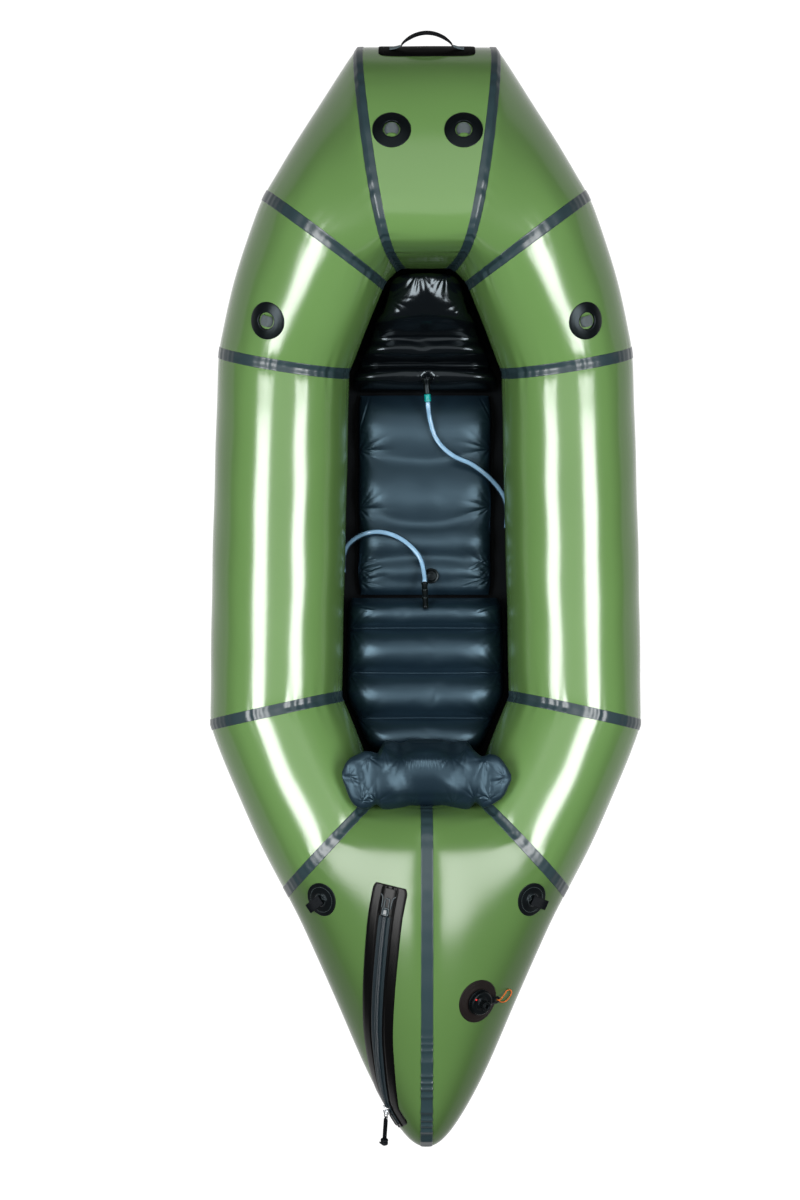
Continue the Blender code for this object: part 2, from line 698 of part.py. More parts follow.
def hull_cutter(panel, side):
    """A panel's cloth with a fit over it, as a thick solid that cuts a fitting's underside."""
    name = f"hull_cutter_{panel}_{side}"
    found = bpy.data.objects.get(name)
    if found:
        return found
    grid = panel_grid(panel, side, ROW_SHARES[panel])
    thickness = FIT + CUTTER_DEPTH
    piece = helper(name, mesh_from(grid_bmesh(grid, wrap_columns=True), name))
    return solidify(piece, thickness, 2 * FIT / thickness - 1)


def make_panels():
    """The hull's inflated panels, one each side of every seam."""
    panels = {"bow": sheet("bow_centre_panel", panel_grid("bow", "right", ROW_SHARES["bow"]),
                           "hull_green", HULL_WALL, -1.0, wrap_columns=True)}
    for number, name in enumerate(PANEL_NAMES):
        for side in ("left", "right"):
            grid = panel_grid(number, side, ROW_SHARES[number])
            panels[number, side] = sheet(f"{name}_panel_{side}", grid, "hull_green", HULL_WALL,
                                         -1.0, wrap_columns=True)
    return panels


def tape_column(panel, side, at_end, angle):
    """A tape's edge on a panel: half the tape's width from the seam, along the cloth."""
    end = 1.0 if at_end else 0.0
    by_along, _ = hull_slopes(panel, side, end, angle)
    step = TAPE_WIDTH / 2 / np.linalg.norm(by_along, axis=-1)
    along = end - step if at_end else end + step
    return hull_point(panel, side, along, angle), hull_normal(panel, side, along, angle)


def make_tapes():
    """The tapes over the seams, each a bent band that runs round the tube from floor to floor."""
    step = 2 * math.pi / AROUND
    start = -math.pi / 2 + WRAP_STEPS * step
    middle_angles = [start + k * step for k in range(1, AROUND - WRAP_STEPS)]
    angle = np.array([start + TAPE_FLOOR_GAP / TUBE_DIAMETER * 2] + middle_angles)
    joints = []
    for side in ("left", "right"):
        bow_end = side == "right"
        joints.append((f"bow_seam_tape_{side}", ("bow", "right", not bow_end), (0, side, False)))
        for number, seam in enumerate(SEAMS[1:-1]):
            joints.append((f"{seam}_seam_tape_{side}", (number, side, True),
                           (number + 1, side, False)))
    joints.append(("tail_seam_tape", (4, "left", True), (4, "right", True)))
    for name, first, second in joints:
        columns = []
        middle_normal = 0
        for panel, side, at_end in (first, second):
            points, normals = tape_column(panel, side, at_end, angle)
            columns.append(points + normals * TAPE_FIT)
            middle_normal = middle_normal + hull_normal(panel, side, 1.0 if at_end else 0.0, angle)
        panel, side, at_end = first
        middle = hull_point(panel, side, 1.0 if at_end else 0.0, angle)
        middle = middle + unit(middle_normal) * TAPE_FIT
        sheet(name, np.array((columns[0], middle, columns[1])), "tape_grey", TAPE_WALL)


def floor_rows():
    """The rows of the floor across the boat, from the tail to the bow, on the hull's underside.

    Each row runs from the wrap on the left panel, under both tubes, to the wrap on the right
    one: its points lie below the hull at the wrap angles and at its lowest line.
    """
    step = 2 * math.pi / AROUND
    wrap = [-math.pi / 2 + k * step for k in range(WRAP_STEPS, -1, -1)]
    stations = [(panel, share) for panel in (4, 3, 2, 1, 0) for share in ROW_SHARES[panel][:0:-1]]
    stations.append((0, 0.0))
    rows = []
    for panel, share in stations:
        right = [hull_point(panel, "right", share, angle) for angle in wrap]
        row = [point * np.array((-1.0, 1.0, 1.0)) for point in right] + right[::-1]
        rows.append(np.array(row))
    return np.array(rows)


def make_floor():
    """The floor sheet, hung a fit below the tubes and extruded straight down."""
    points = floor_rows()
    points[..., 2] -= FIT
    bm = grid_bmesh(points)
    faces = list(bm.faces)
    lower = bmesh.ops.extrude_face_region(bm, geom=faces)
    moved = [part for part in lower["geom"] if isinstance(part, bmesh.types.BMVert)]
    bmesh.ops.translate(bm, verts=moved, vec=(0.0, 0.0, -FLOOR_WALL))
    add_object("floor_sheet", mesh_from(bm, "floor_sheet"), "floor_black")


def make_lash_tab(place, spot, slant):
    """A moulded disc with a dished middle, and the webbing bar that bridges it."""
    hole, share = LASH_HOLE / LASH_DIAMETER, LASH_PROFILE_SHARES
    low, high = DRAPE_FIT + LASH_RIM, DRAPE_FIT + LASH_CROWN
    profile = ((hole, -DRAPE_DEPTH), (1.0, -DRAPE_DEPTH), (1.0, low / 2), (share["edge"], low),
               (share["slope"], low + (high - low) / 3), (share["crown"], high),
               (share["inner"], high), (hole, low + (high - low) / 2))
    draped_plate(f"lash_disc_{place}", spot, circle(LASH_DIAMETER / 2), profile, "rubber_black",
                 segments=14, ring=True)
    radius = LASH_HOLE / 2 - BAR_THICKNESS - FIT
    run = np.linspace(-1.0, 1.0, 9)
    lift = (1 - run ** 4) * (BAR_HEIGHT - BAR_THICKNESS + BAR_SINK) - BAR_SINK
    cos, sin = math.cos(slant), math.sin(slant)
    rows = []
    for across in (-1.0, 0.0, 1.0):
        forth = across * BAR_WIDTH / 2
        reach = math.sqrt(radius ** 2 - forth ** 2)
        points, normals = spot.drape(run * reach * cos - forth * sin, run * reach * sin + forth * cos)
        rows.append(points + normals * lift[:, None])
    bar = sheet(f"lash_bar_{place}", np.array(rows), "webbing_black", BAR_THICKNESS)
    boolean(bar, hull_cutter(spot.panel, spot.side))


def make_lash_tabs():
    """The lash tabs on the bow deck and on the bow quarters."""
    for side, sign in (("left", -1.0), ("right", 1.0)):
        along = (1 - sign * BOW_LASH_SHARE) / 2
        make_lash_tab(f"bow_{side}", Spot("bow", "right", along, math.radians(BOW_LASH_ANGLE)), 0.0)
        spot = Spot(1, side, SIDE_LASH_SHARE, math.radians(SIDE_LASH_ANGLE))
        make_lash_tab(f"side_{side}", spot, sign * math.radians(SIDE_LASH_SLANT))


def make_stern_loop(side):
    """A disc, its stitched pad and the folded webbing loop that swings on the pad.

    Returns the loop's hinge point and axis.
    """
    spot = Spot(4, side, STERN_LOOP_SHARE, math.radians(STERN_LOOP_ANGLE))
    top = DRAPE_FIT + LOOP_DISC_WALL
    pad_top = top + LOOP_PAD_WALL
    pad = LOOP_PAD_SIDE / LOOP_DISC_DIAMETER
    profile = ((0.0, -DRAPE_DEPTH), (1.0, -DRAPE_DEPTH), (1.0, top - LOOP_DISC_WALL / 3),
               (LOOP_RIM_SHARE, top), (pad, top), (pad, pad_top), (0.0, pad_top))
    draped_plate(f"stern_loop_disc_{side}", spot, circle(LOOP_DISC_DIAMETER / 2), profile,
                 "rubber_black", segments=18)
    turn = math.radians(STERN_LOOP_TURNS[side])
    heading = math.cos(turn) * spot.right + math.sin(turn) * spot.forward
    hinge = np.cross(heading, spot.out)
    root = spot.point + spot.out * (pad_top + FIT + LOOP_WEBBING + LOOP_EYE / 2)
    angle = np.linspace(0, 2 * math.pi, 16, endpoint=False)
    run = (1 - np.cos(angle)) / 2
    flat, swell = LOOP_SWELL_SHARES
    rise = np.sin(angle) * (LOOP_EYE / 2) * (flat + swell * np.sin(math.pi * run))
    line = root + heading * ((run - LOOP_ROOT_SHARE) * LOOP_LENGTH)[:, None]
    line = line + spot.out * rise[:, None]
    rows = [line + hinge * across * LOOP_WIDTH / 2 for across in (-1.0, 1.0)]
    sheet(f"stern_loop_{side}", np.array(rows), "webbing_black", LOOP_WEBBING,
          wrap_columns=True, origin=root)
    return root, hinge


def make_bow_handle():
    """The handle's patch with its stitched anchors, and the webbing arch that swings on them.

    Returns the arch's hinge point.
    """
    spot = Spot("bow", "right", 0.5, math.radians(HANDLE_ANGLE))
    top = DRAPE_FIT + HANDLE_PATCH_WALL
    profile = ((0.0, -DRAPE_DEPTH), (1.0, -DRAPE_DEPTH), (1.0, top), (0.0, top))
    outline = rounded_oblong(HANDLE_PATCH_LENGTH, HANDLE_PATCH_HEIGHT, PATCH_CORNER_SHARE)
    patch = draped_plate("bow_handle_patch", spot, outline, profile, "rubber_black", segments=24)
    axis_height = top + HANDLE_STANDOFF
    run = np.linspace(0.0, 1.0, 6)
    for side, sign in (("left", -1.0), ("right", 1.0)):
        right = sign * (HANDLE_SPAN / 2 + HANDLE_END_GAP + run * HANDLE_ANCHOR_LENGTH)
        fall = (1 - run) ** 2
        lift = axis_height * fall + (top + HANDLE_ANCHOR_WALL / 4) * (1 - fall)
        rows = [spot.place(right, np.full(6, across * HANDLE_FOOT_WIDTH / 2), lift)
                for across in (-1.0, 1.0)]
        anchor = sheet(f"bow_handle_anchor_{side}", np.array(rows), "webbing_black",
                       HANDLE_ANCHOR_WALL, 0.0)
        boolean(patch, as_helper(anchor), "UNION")
    run = np.linspace(-1.0, 1.0, 21)
    arch = np.cos(run * math.pi / 2) ** HANDLE_ARCH_POWER_SHARE * HANDLE_REACH
    spread = np.clip((1 - np.abs(run)) / HANDLE_FOOT_SHARE, 0, 1)
    width = HANDLE_FOOT_WIDTH + (HANDLE_WIDTH - HANDLE_FOOT_WIDTH) * spread
    rest = math.radians(HANDLE_REST_ANGLE)
    reach = np.array((0.0, math.cos(rest), math.sin(rest)))
    flat = np.cross(reach, spot.right)
    hinge = spot.point + spot.out * axis_height
    line = hinge + spot.right * (run * HANDLE_SPAN / 2)[:, None] + reach * arch[:, None]
    rows = [line + flat * (across * width / 2)[:, None] for across in (-1.0, 1.0)]
    sheet("bow_handle", np.array(rows), "webbing_black", HANDLE_WEBBING, 0.0, origin=hinge)
    return hinge


class ZipRoute:
    """The zip's route on the hull, and the circle that the slider's way follows.

    The circle goes through three places at the chain's middle height: the slider's rest, the
    end of its travel and half way between. Its centre is the one of the triangle's outer
    circle. The chain turns about it with its top always the same way up; above the travel the
    chain passes over into the hull's own slope.
    """

    def __init__(self, height):
        knots = [(along, math.radians(angle), 0.0) for along, angle in ZIP_ROUTE_SHARES]
        self.fine = smooth_route(knots, 400)
        points = hull_point(4, "left", self.fine[:, 0], self.fine[:, 1])
        run = np.append(0.0, np.cumsum(np.linalg.norm(np.diff(points, axis=0), axis=1)))
        self.length, self.shares = run[-1], run / run[-1]
        self.height = height
        self.rest = ZIP_REST_SHARE
        self.far = self.rest - ZIP_TRAVEL / self.length
        middle_share = (self.rest + self.far) / 2
        first, middle, last = [self.lifted(share) for share in (self.far, middle_share, self.rest)]
        a, b = first - middle, last - middle
        axis = np.cross(a, b)
        square = axis.dot(axis)
        self.centre = middle + np.cross(a.dot(a) * b - b.dot(b) * a, axis) / (2 * square)
        axis = unit(axis)
        forth = self.lifted(self.rest) - self.lifted(middle_share)
        self.axis = axis if np.cross(axis, last - self.centre).dot(forth) > 0 else -axis
        self.radius = np.linalg.norm(last - self.centre)
        self.start = last
        heading = np.cross(self.axis, unit(middle - self.centre))
        out = self.spot(middle_share).out
        out = Vector(unit(out - out.dot(heading) * heading))
        back = Matrix.Rotation((self.rest - middle_share) * self.length / self.radius, 3,
                               Vector(self.axis))
        self.out = np.array(back @ out)

    def spot(self, share):
        """The place on the hull at a share of the route."""
        along = float(np.interp(share, self.shares, self.fine[:, 0]))
        angle = float(np.interp(share, self.shares, self.fine[:, 1]))
        return Spot(4, "left", along, angle)

    def lifted(self, share):
        """The middle of the chain above the hull at a share of the route."""
        spot = self.spot(share)
        return spot.point + spot.out * self.height

    def draped(self, share):
        """The place on the hull, and the axes across and along the zip there."""
        spot, step = self.spot(share), 1 / ZIP_STATIONS / 4
        ahead, behind = self.spot(min(share + step, 1.0)), self.spot(max(share - step, 0.0))
        heading = ahead.point - behind.point
        heading = unit(heading - heading.dot(spot.out) * spot.out)
        return spot, np.cross(heading, spot.out), heading

    def circular(self, share):
        """The chain's middle, and the axes across, along and outwards, on the circle."""
        turn = Matrix.Rotation((share - self.rest) * self.length / self.radius, 3, Vector(self.axis))
        arm = np.array(turn @ Vector(self.start - self.centre))
        out = np.array(turn @ Vector(self.out))
        heading = np.cross(self.axis, unit(arm))
        return self.centre + arm, np.cross(heading, out), heading, out

    def chain(self, share):
        """The chain's middle, and the axes across and outwards: circular in the travel."""
        point, across, _, out = self.circular(share)
        weight = min(max((self.far - share) / ZIP_BLEND_SHARE, 0.0), 1.0)
        weight = weight ** 2 * (3 - 2 * weight)
        spot, side, _ = self.draped(share)
        point = point * (1 - weight) + (spot.point + spot.out * self.height) * weight
        out = unit(out * (1 - weight) + spot.out * weight)
        across = across * (1 - weight) + side * weight
        return point, unit(across - across.dot(out) * out), out


def draped_band(name, route, start, end, section, stations, corner=1.0):
    """A band on the hull along the zip: a closed section of (across, height), lofted."""
    sections = []
    for number, share in enumerate(np.linspace(start, end, stations)):
        spot, across, _ = route.draped(share)
        scale = corner if number in (0, stations - 1) else 1.0
        offsets = np.array([offset for offset, _ in section]) * scale
        heights = np.array([height for _, height in section])
        points, normals = spot.drape(offsets * (across @ spot.right),
                                     offsets * (across @ spot.forward))
        sections.append(points + normals * heights[:, None])
    return lofted(name, np.array(sections), "rubber_black")


def make_zip():
    """The cargo zip: its base with the moulded ends, its chain, and the slider with its pull."""
    half, tape = ZIP_BASE_WIDTH / 2, ZIP_TAPE_WIDTH / 2
    low = DRAPE_FIT + ZIP_BASE_WALL
    high = low + ZIP_TAPE_WALL
    section = [(-half, -DRAPE_DEPTH), (-half, low), (-tape - ZIP_TAPE_WALL, low), (-tape, high),
               (tape, high), (tape + ZIP_TAPE_WALL, low), (half, low), (half, -DRAPE_DEPTH)]
    middle = high + FIT + ZIP_CHAIN_HEIGHT / 2
    route = ZipRoute(middle)
    base = draped_band("zip_base", route, 0.0, 1.0, section, ZIP_STATIONS, ZIP_CORNER_SHARE)
    boolean(base, hull_cutter(4, "left"))
    block_share = ZIP_END_LENGTH / route.length
    start, end = BLOCK_STOP_SHARE * block_share, route.rest + SLIDER_LENGTH / 2 / route.length
    cut = grown(base, FIT)
    sections = []
    for share in np.linspace(start, end, ZIP_STATIONS):
        point, across, out = route.chain(share)
        loop = []
        for offset, height in CHAIN_SECTION_SHARES:
            sink = ZIP_CHAIN_SINK if height < 0 else 0.0
            loop.append(point + across * (offset * ZIP_CHAIN_WIDTH / 2)
                        + out * (height * ZIP_CHAIN_HEIGHT / 2 - sink))
        sections.append(loop)
    chain = lofted("zip_chain", np.array(sections), "rubber_black")
    boolean(chain, cut)
    block = [(across * ZIP_END_WIDTH / 2, high + rise * ZIP_END_HEIGHT)
             for across, rise in BLOCK_SECTION_SHARES]
    gap = ZIP_END_GAP / route.length
    ends = ((BLOCK_START_SHARE * block_share, start - gap),
            (end + gap, 1 - gap - BLOCK_FINISH_SHARE * block_share))
    for number, (first, last) in enumerate(ends):
        piece = draped_band(f"zip_block_{number}", route, first, last, block, 6, BLOCK_END_SHARE)
        boolean(base, as_helper(piece), "UNION")
    make_slider(route)
    return route


def make_slider(route):
    """The slider that rides on the chain, with its bridge, and the pull on the bridge."""
    origin, across, heading, out = route.circular(route.rest)
    local = axes_matrix(origin, across, heading, out)
    roof = ZIP_CHAIN_HEIGHT / 2 + SLIDER_CLEARANCE
    low = SLIDER_LIFT - ZIP_CHAIN_HEIGHT / 2
    high = roof + SLIDER_WALL
    size = (SLIDER_WIDTH, SLIDER_LENGTH, high - low)
    middle = Matrix.Translation((0.0, 0.0, (high + low) / 2))
    body = bpy.data.objects.new("zip_slider", box_mesh("zip_slider", size, middle))
    MODEL.objects.link(body)
    edge = body.modifiers.new("edges", "BEVEL")
    edge.width = SLIDER_WALL / 2
    edge.segments = 2
    size = (ZIP_CHAIN_WIDTH + 2 * SLIDER_CLEARANCE, 2 * SLIDER_LENGTH, 2 * (roof - low))
    channel = box_mesh("slider_channel", size, Matrix.Translation((0.0, 0.0, low)))
    boolean(body, helper("slider_channel", channel))
    foot, rise = high - SLIDER_WALL / 2, BRIDGE_HEIGHT - BRIDGE_WIRE / 2
    arch = [(0.0, along * BRIDGE_REACH / 2, foot + lift * (rise + SLIDER_WALL / 2))
            for along, lift in BRIDGE_SHARES]
    bridge = tube("slider_bridge", smooth_route(arch, 12), BRIDGE_WIRE / 2, "slider_metal")
    boolean(body, as_helper(bridge), "UNION")
    finished(body, "zip_slider", "slider_metal", local, origin)
    hinge = origin + out * (high + RING_WIRE / 2 + FIT)
    make_zip_pull(hinge, across, heading, out)


def way_matrix(origin, shares, axes):
    """Local axes at a point: Y along the shares of the given axes, X level across it."""
    way = unit(sum(share * axis for share, axis in zip(shares, axes)))
    side = unit(np.cross(way, axes[2]))
    return axes_matrix(origin, side, way, np.cross(side, way))


def make_zip_pull(hinge, across, heading, out):
    """The ring through the bridge, and the knotted webbing pull on the ring."""
    axes = (across, heading, out)
    ring_axes = way_matrix(hinge, RING_WAY_SHARES, axes)
    half, far = (RING_WIDTH - RING_WIRE) / 2 - RING_CORNER, RING_LENGTH - RING_WIRE
    corners = ((half, far - RING_CORNER, 0.0), (-half, far - RING_CORNER, 90.0),
               (-half, RING_CORNER, 180.0), (half, RING_CORNER, 270.0))
    points = []
    for x, y, start in corners:
        for degrees in (0.0, 30.0, 60.0, 90.0):
            angle = math.radians(start + degrees)
            points.append((x + RING_CORNER * math.cos(angle), y + RING_CORNER * math.sin(angle), 0.0))
    points = [ring_axes @ Vector(point) for point in points]
    tube("zip_pull_ring", points, RING_WIRE / 2, "slider_metal", cyclic=True, origin=hinge)
    eye = ring_axes @ Vector((0.0, far, 0.0))
    local = way_matrix(eye, PULL_WAY_SHARES, axes)
    turn = Matrix.Rotation(math.pi / 2, 4, "Y")
    start = PULL_HEAD / 2 + FIT + RING_WIRE / 2
    size = (PULL_WIDTH, PULL_LENGTH - start, PULL_WALL)
    middle = Matrix.Translation((0.0, (PULL_LENGTH + start) / 2, 0.0))
    strap = bpy.data.objects.new("zip_pull", box_mesh("zip_pull", size, middle))
    MODEL.objects.link(strap)
    head = round_helper("pull_head", PULL_HEAD / 2, PULL_HEAD_WIDTH, turn, 16)
    boolean(strap, head, "UNION")
    size = (PULL_HEAD_WIDTH, start + PULL_WALL, PULL_WALL)
    neck = box_mesh("pull_neck", size, Matrix.Translation((0.0, (start + PULL_WALL) / 2, 0.0)))
    boolean(strap, helper("pull_neck", neck), "UNION")
    place = Matrix.Translation((0.0, PULL_LENGTH, 0.0))
    size = Matrix.Diagonal((PULL_KNOT_WIDTH, PULL_KNOT_LENGTH, PULL_KNOT_HEIGHT, 1.0))
    bm = bmesh.new()
    bmesh.ops.create_uvsphere(bm, u_segments=10, v_segments=6, radius=0.5, matrix=place @ size)
    boolean(strap, helper("pull_knot", mesh_from(bm, "pull_knot")), "UNION")
    tail = [(x * PULL_KNOT_WIDTH, PULL_LENGTH + y * PULL_KNOT_LENGTH, 0.0)
            for x, y in PULL_TAIL_SHARES]
    end = tube("pull_tail", tail, PULL_TAIL_WIDTH / 2, "webbing_black")
    boolean(strap, as_helper(end), "UNION")
    bore = round_helper("pull_eye", RING_WIRE / 2 + FIT, 2 * RING_WIDTH, turn, 12)
    boolean(strap, bore)
    finished(strap, "zip_pull", "webbing_black", local, hinge)


def make_valve(panels):
    """The main valve: flange, body through the hull, poppet, cap, tether and its cord loop."""
    spot = Spot(4, "right", VALVE_SHARE, math.radians(VALVE_ANGLE))
    local = axes_matrix(spot.point, spot.right, spot.forward, spot.out)
    hole = VALVE_NECK_DIAMETER / 2 + VALVE_NECK_CLEARANCE
    depth = 2 * VALVE_DEPTH
    boolean(panels[4, "right"], round_helper("valve_hole", hole, depth, local))
    radius = VALVE_FLANGE_DIAMETER / 2
    share, top = (hole + VALVE_FLANGE_WALL) / radius, DRAPE_FIT + VALVE_FLANGE_WALL
    profile = ((share, -DRAPE_DEPTH), (1.0, -DRAPE_DEPTH), (1.0, top - VALVE_FLANGE_WALL / 2),
               (FLANGE_RIM_SHARE, top), (share, top))
    flange = draped_plate("valve_flange", spot, circle(radius), profile, "rubber_black",
                          segments=18, ring=True)
    seat = VALVE_SEAT_DIAMETER / 2
    seat_top = top + FIT
    profile = ((hole + FIT, -DRAPE_DEPTH), (hole + FIT, seat_top), (seat - VALVE_FLANGE_WALL, seat_top),
               (seat + VALVE_FLANGE_WALL, -DRAPE_DEPTH))
    ring = turned("valve_seat_ring", profile, "rubber_black", local, steps=18)
    boolean(ring, hull_cutter(4, "right"))
    boolean(flange, as_helper(ring), "UNION")
    neck, lip = VALVE_NECK_DIAMETER / 2, VALVE_LIP_DIAMETER / 2
    collar = neck - VALVE_WALL / 3
    bore = collar - VALVE_WALL
    lip_low = seat_top + FIT
    lip_high = lip_low + VALVE_LIP_HEIGHT
    cap_low = lip_high + TETHER_WALL + 2 * FIT
    cap_high = cap_low + CAP_HEIGHT
    collar_top = cap_high - CAP_WALL - FIT
    bottom = -VALVE_DEPTH
    floor_high = bottom + VALVE_FLOOR
    guide = POPPET_STEM / 2 + POPPET_CLEARANCE
    profile = ((guide, bottom), (guide, floor_high), (bore, floor_high), (bore, collar_top),
               (collar, collar_top), (collar, lip_high), (lip, lip_high), (lip, lip_low),
               (neck, lip_low), (neck, bottom))
    body = turned("valve_body", profile, "rubber_black", local, steps=18)
    for number in range(VENTS):
        turn = 2 * math.pi * number / VENTS
        ring = (guide + bore) / 2
        place = Matrix.Translation((ring * math.cos(turn), ring * math.sin(turn), bottom))
        boolean(body, round_helper(f"valve_vent_{number}", VENT_DIAMETER / 2, VALVE_DEPTH,
                                   local @ place, 8))
    disc, stem, button = neck - VALVE_WALL, POPPET_STEM / 2, POPPET_BUTTON / 2
    disc_high = bottom - FIT
    button_low = floor_high + POPPET_RISE
    button_high = button_low + POPPET_BUTTON_HEIGHT
    profile = ((0.0, disc_high - POPPET_DISC_WALL), (disc, disc_high - POPPET_DISC_WALL),
               (disc, disc_high), (stem, disc_high), (stem, button_low), (button, button_low),
               (button, button_high), (0.0, button_high))
    turned("valve_poppet", profile, "rubber_black", local, steps=16, origin=spot.point)
    outer, inner, knob = CAP_DIAMETER / 2, collar + FIT, KNOB_DIAMETER / 2
    knob_high = cap_high + KNOB_HEIGHT
    edge = CAP_WALL / 2
    profile = ((0.0, knob_high - KNOB_BORE_DEPTH), (KNOB_BORE / 2, knob_high - KNOB_BORE_DEPTH),
               (KNOB_BORE / 2, knob_high), (knob, knob_high), (knob, cap_high + edge),
               (knob + edge, cap_high), (outer - edge, cap_high), (outer, cap_high - edge),
               (outer, cap_low), (inner, cap_low), (inner, cap_high - CAP_WALL),
               (0.0, cap_high - CAP_WALL))
    turned("valve_cap", profile, "rubber_black", local, steps=20, origin=spot.point)
    make_tether(spot, local, inner, lip, lip_high + FIT)
    return spot


def make_tether(spot, local, inner, outer, height):
    """The tether's ring round the collar with its tab, and the cord loop through the eye."""
    tab = TETHER_TAB_WIDTH / 2
    bend = math.asin(tab / outer)
    rim = np.linspace(bend, 2 * math.pi - bend, 24)
    tip = np.linspace(-math.pi / 2, math.pi / 2, 9)
    turn = np.linspace(0, 2 * math.pi, 24, endpoint=False)
    eye, hole = TETHER_REACH - tab, TETHER_EYE / 2
    rings = [[(outer * math.cos(a), outer * math.sin(a)) for a in rim]
             + [(eye + tab * math.cos(a), tab * math.sin(a)) for a in tip],
             [(inner * math.cos(a), inner * math.sin(a)) for a in turn],
             [(eye + hole * math.cos(a), hole * math.sin(a)) for a in turn[::2]]]
    curve = bpy.data.curves.new("valve_tether", "CURVE")
    curve.dimensions = "2D"
    curve.fill_mode = "BOTH"
    curve.extrude = TETHER_WALL / 2
    for ring in rings:
        spline = curve.splines.new("POLY")
        spline.points.add(len(ring) - 1)
        for point, (x, y) in zip(spline.points, ring):
            point.co = (x, y, 0.0, 1.0)
        spline.use_cyclic_u = True
    piece = bpy.data.objects.new("valve_tether", curve)
    MODEL.objects.link(piece)
    lifted = local @ Matrix.Translation((0.0, 0.0, height + TETHER_WALL / 2))
    finished(piece, "valve_tether", "rubber_black", lifted)
    wire = CORD_LOOP_WIRE / 2
    above, below = height + TETHER_WALL + wire + FIT, height - wire - FIT
    knots = [spot.place(eye, 0.0, height + TETHER_WALL / 2),
             spot.place(eye + hole + wire, wire, above + wire)]
    for right, forward, lift in CORD_LOOP_ROUTE:
        point, normal = spot.drape(np.array(right), np.array(forward))
        knots.append(point + normal * (lift + wire))
    knots += [spot.place(eye + hole + wire, -wire, below - wire),
              spot.place(eye, 0.0, height + TETHER_WALL / 2 - wire)]
    points = smooth_route(knots, 22)[:-1]
    tube("valve_cord_loop", points, wire, "cord_orange", cyclic=True)


def hull_line(angle, axis):
    """Stations of the right side from the tail to the bow: y against x or z at one angle."""
    points = []
    for panel in (4, 3, 2, 1, 0):
        points += [hull_point(panel, "right", share, angle) for share in np.linspace(1.0, 0.0, 9)]
    points = np.array(points)
    order = np.argsort(points[:, 1], kind="stable")
    return points[order, 1], points[order, axis]


COCKPIT_Y, COCKPIT_X = hull_line(math.pi, 0)
KEEL_Y, KEEL_Z = hull_line(-math.pi / 2, 2)


def along_cockpit(place):
    """The station of a named place between the tubes, from the cockpit's rear end."""
    return float(COCKPIT_Y[0] + PLACE_SHARES[place] * (COCKPIT_Y[-1] - COCKPIT_Y[0]))


def rear_wall(x):
    """The station behind the seat where the tubes' inner line is this far from the middle."""
    behind = COCKPIT_Y < COCKPIT_Y[np.argmax(COCKPIT_X)]
    return float(np.interp(x, COCKPIT_X[behind], COCKPIT_Y[behind]))


MAT_FRONT, MAT_REAR = along_cockpit("mat_front"), along_cockpit("mat_rear")
SEAT_FRONT, SEAT_REAR = along_cockpit("seat_front"), along_cockpit("seat_rear")
BRACE_FRONT, BRACE_REAR = along_cockpit("brace_front"), along_cockpit("brace_rear")
BACK_CENTRE_Y = rear_wall(BACK_SEATED_SHARE * BACK_HALF_WIDTH) + BACK_STANDOFF


def cockpit_half_width(y):
    """Half the clear width between the tubes at a station."""
    return float(np.interp(y, COCKPIT_Y, COCKPIT_X)) - SIDE_CLEARANCE


def floor_top(y):
    """The floor's upper side at a station."""
    return float(np.interp(y, KEEL_Y, KEEL_Z)) - FIT


def pillow_loop(y, half_width, low, high, rim):
    """A cushion's section across the boat: flat under, crowned over, drawn in at its rim.

    A superellipse: x is the half width times a power of the cosine, and z leaves the rim's
    height by a power of the sine, up to the crown or down to the underside.
    """
    angle = np.linspace(0, 2 * math.pi, PILLOW_POINTS, endpoint=False)
    cos, sin = np.cos(angle), np.sin(angle)
    power = PILLOW_POWER_SHARES
    x = half_width * np.sign(cos) * np.abs(cos) ** power["side"]
    reach = np.where(sin > 0, high - rim, rim - low)
    z = rim + reach * np.sign(sin) * np.abs(sin) ** np.where(sin > 0, power["top"], power["bottom"])
    return np.stack((x, np.full(PILLOW_POINTS, y), z), axis=1)


def closed_loop(y, half_width, middle):
    """A cushion's end seam: a section only as thick as two rims."""
    return pillow_loop(y, half_width, middle - CUSHION_RIM, middle + CUSHION_RIM, middle)


def channel_stations(weld_shares, weld, crown):
    """Shares along a cushion and its heights there: it swells between its cross welds."""
    end_share, end_height = CUSHION_END_SHARES
    stations = [(end_share, weld * end_height)]
    for number, (start, end) in enumerate(zip(weld_shares[:-1], weld_shares[1:])):
        for part in SWELL_SHARES:
            swell = math.sin(math.pi * part) ** SWELL_POWER_SHARE
            stations.append((start + part * (end - start), weld + (crown - weld) * swell))
        if number < len(weld_shares) - 2:
            stations.append((end, weld))
    return stations + [(1 - end_share, weld * end_height)]


def cushion(name, rear, front, stations, half_width):
    """A welded air cushion lofted along the boat from its stations of (share, height)."""
    end_width = CUSHION_END_WIDTH_SHARE * half_width
    loops = [closed_loop(rear, end_width, floor_top(rear) + FIT + 2 * CUSHION_RIM)]
    for share, height in stations:
        y = rear + share * (front - rear)
        low = floor_top(y) + FIT
        rim = low + height * CUSHION_RIM_SHARE + CUSHION_RIM
        loops.append(pillow_loop(y, min(half_width, cockpit_half_width(y)), low, low + height, rim))
    loops.append(closed_loop(front, end_width, floor_top(front) + FIT + 2 * CUSHION_RIM))
    return lofted(name, np.array(loops), "seat_cloth")


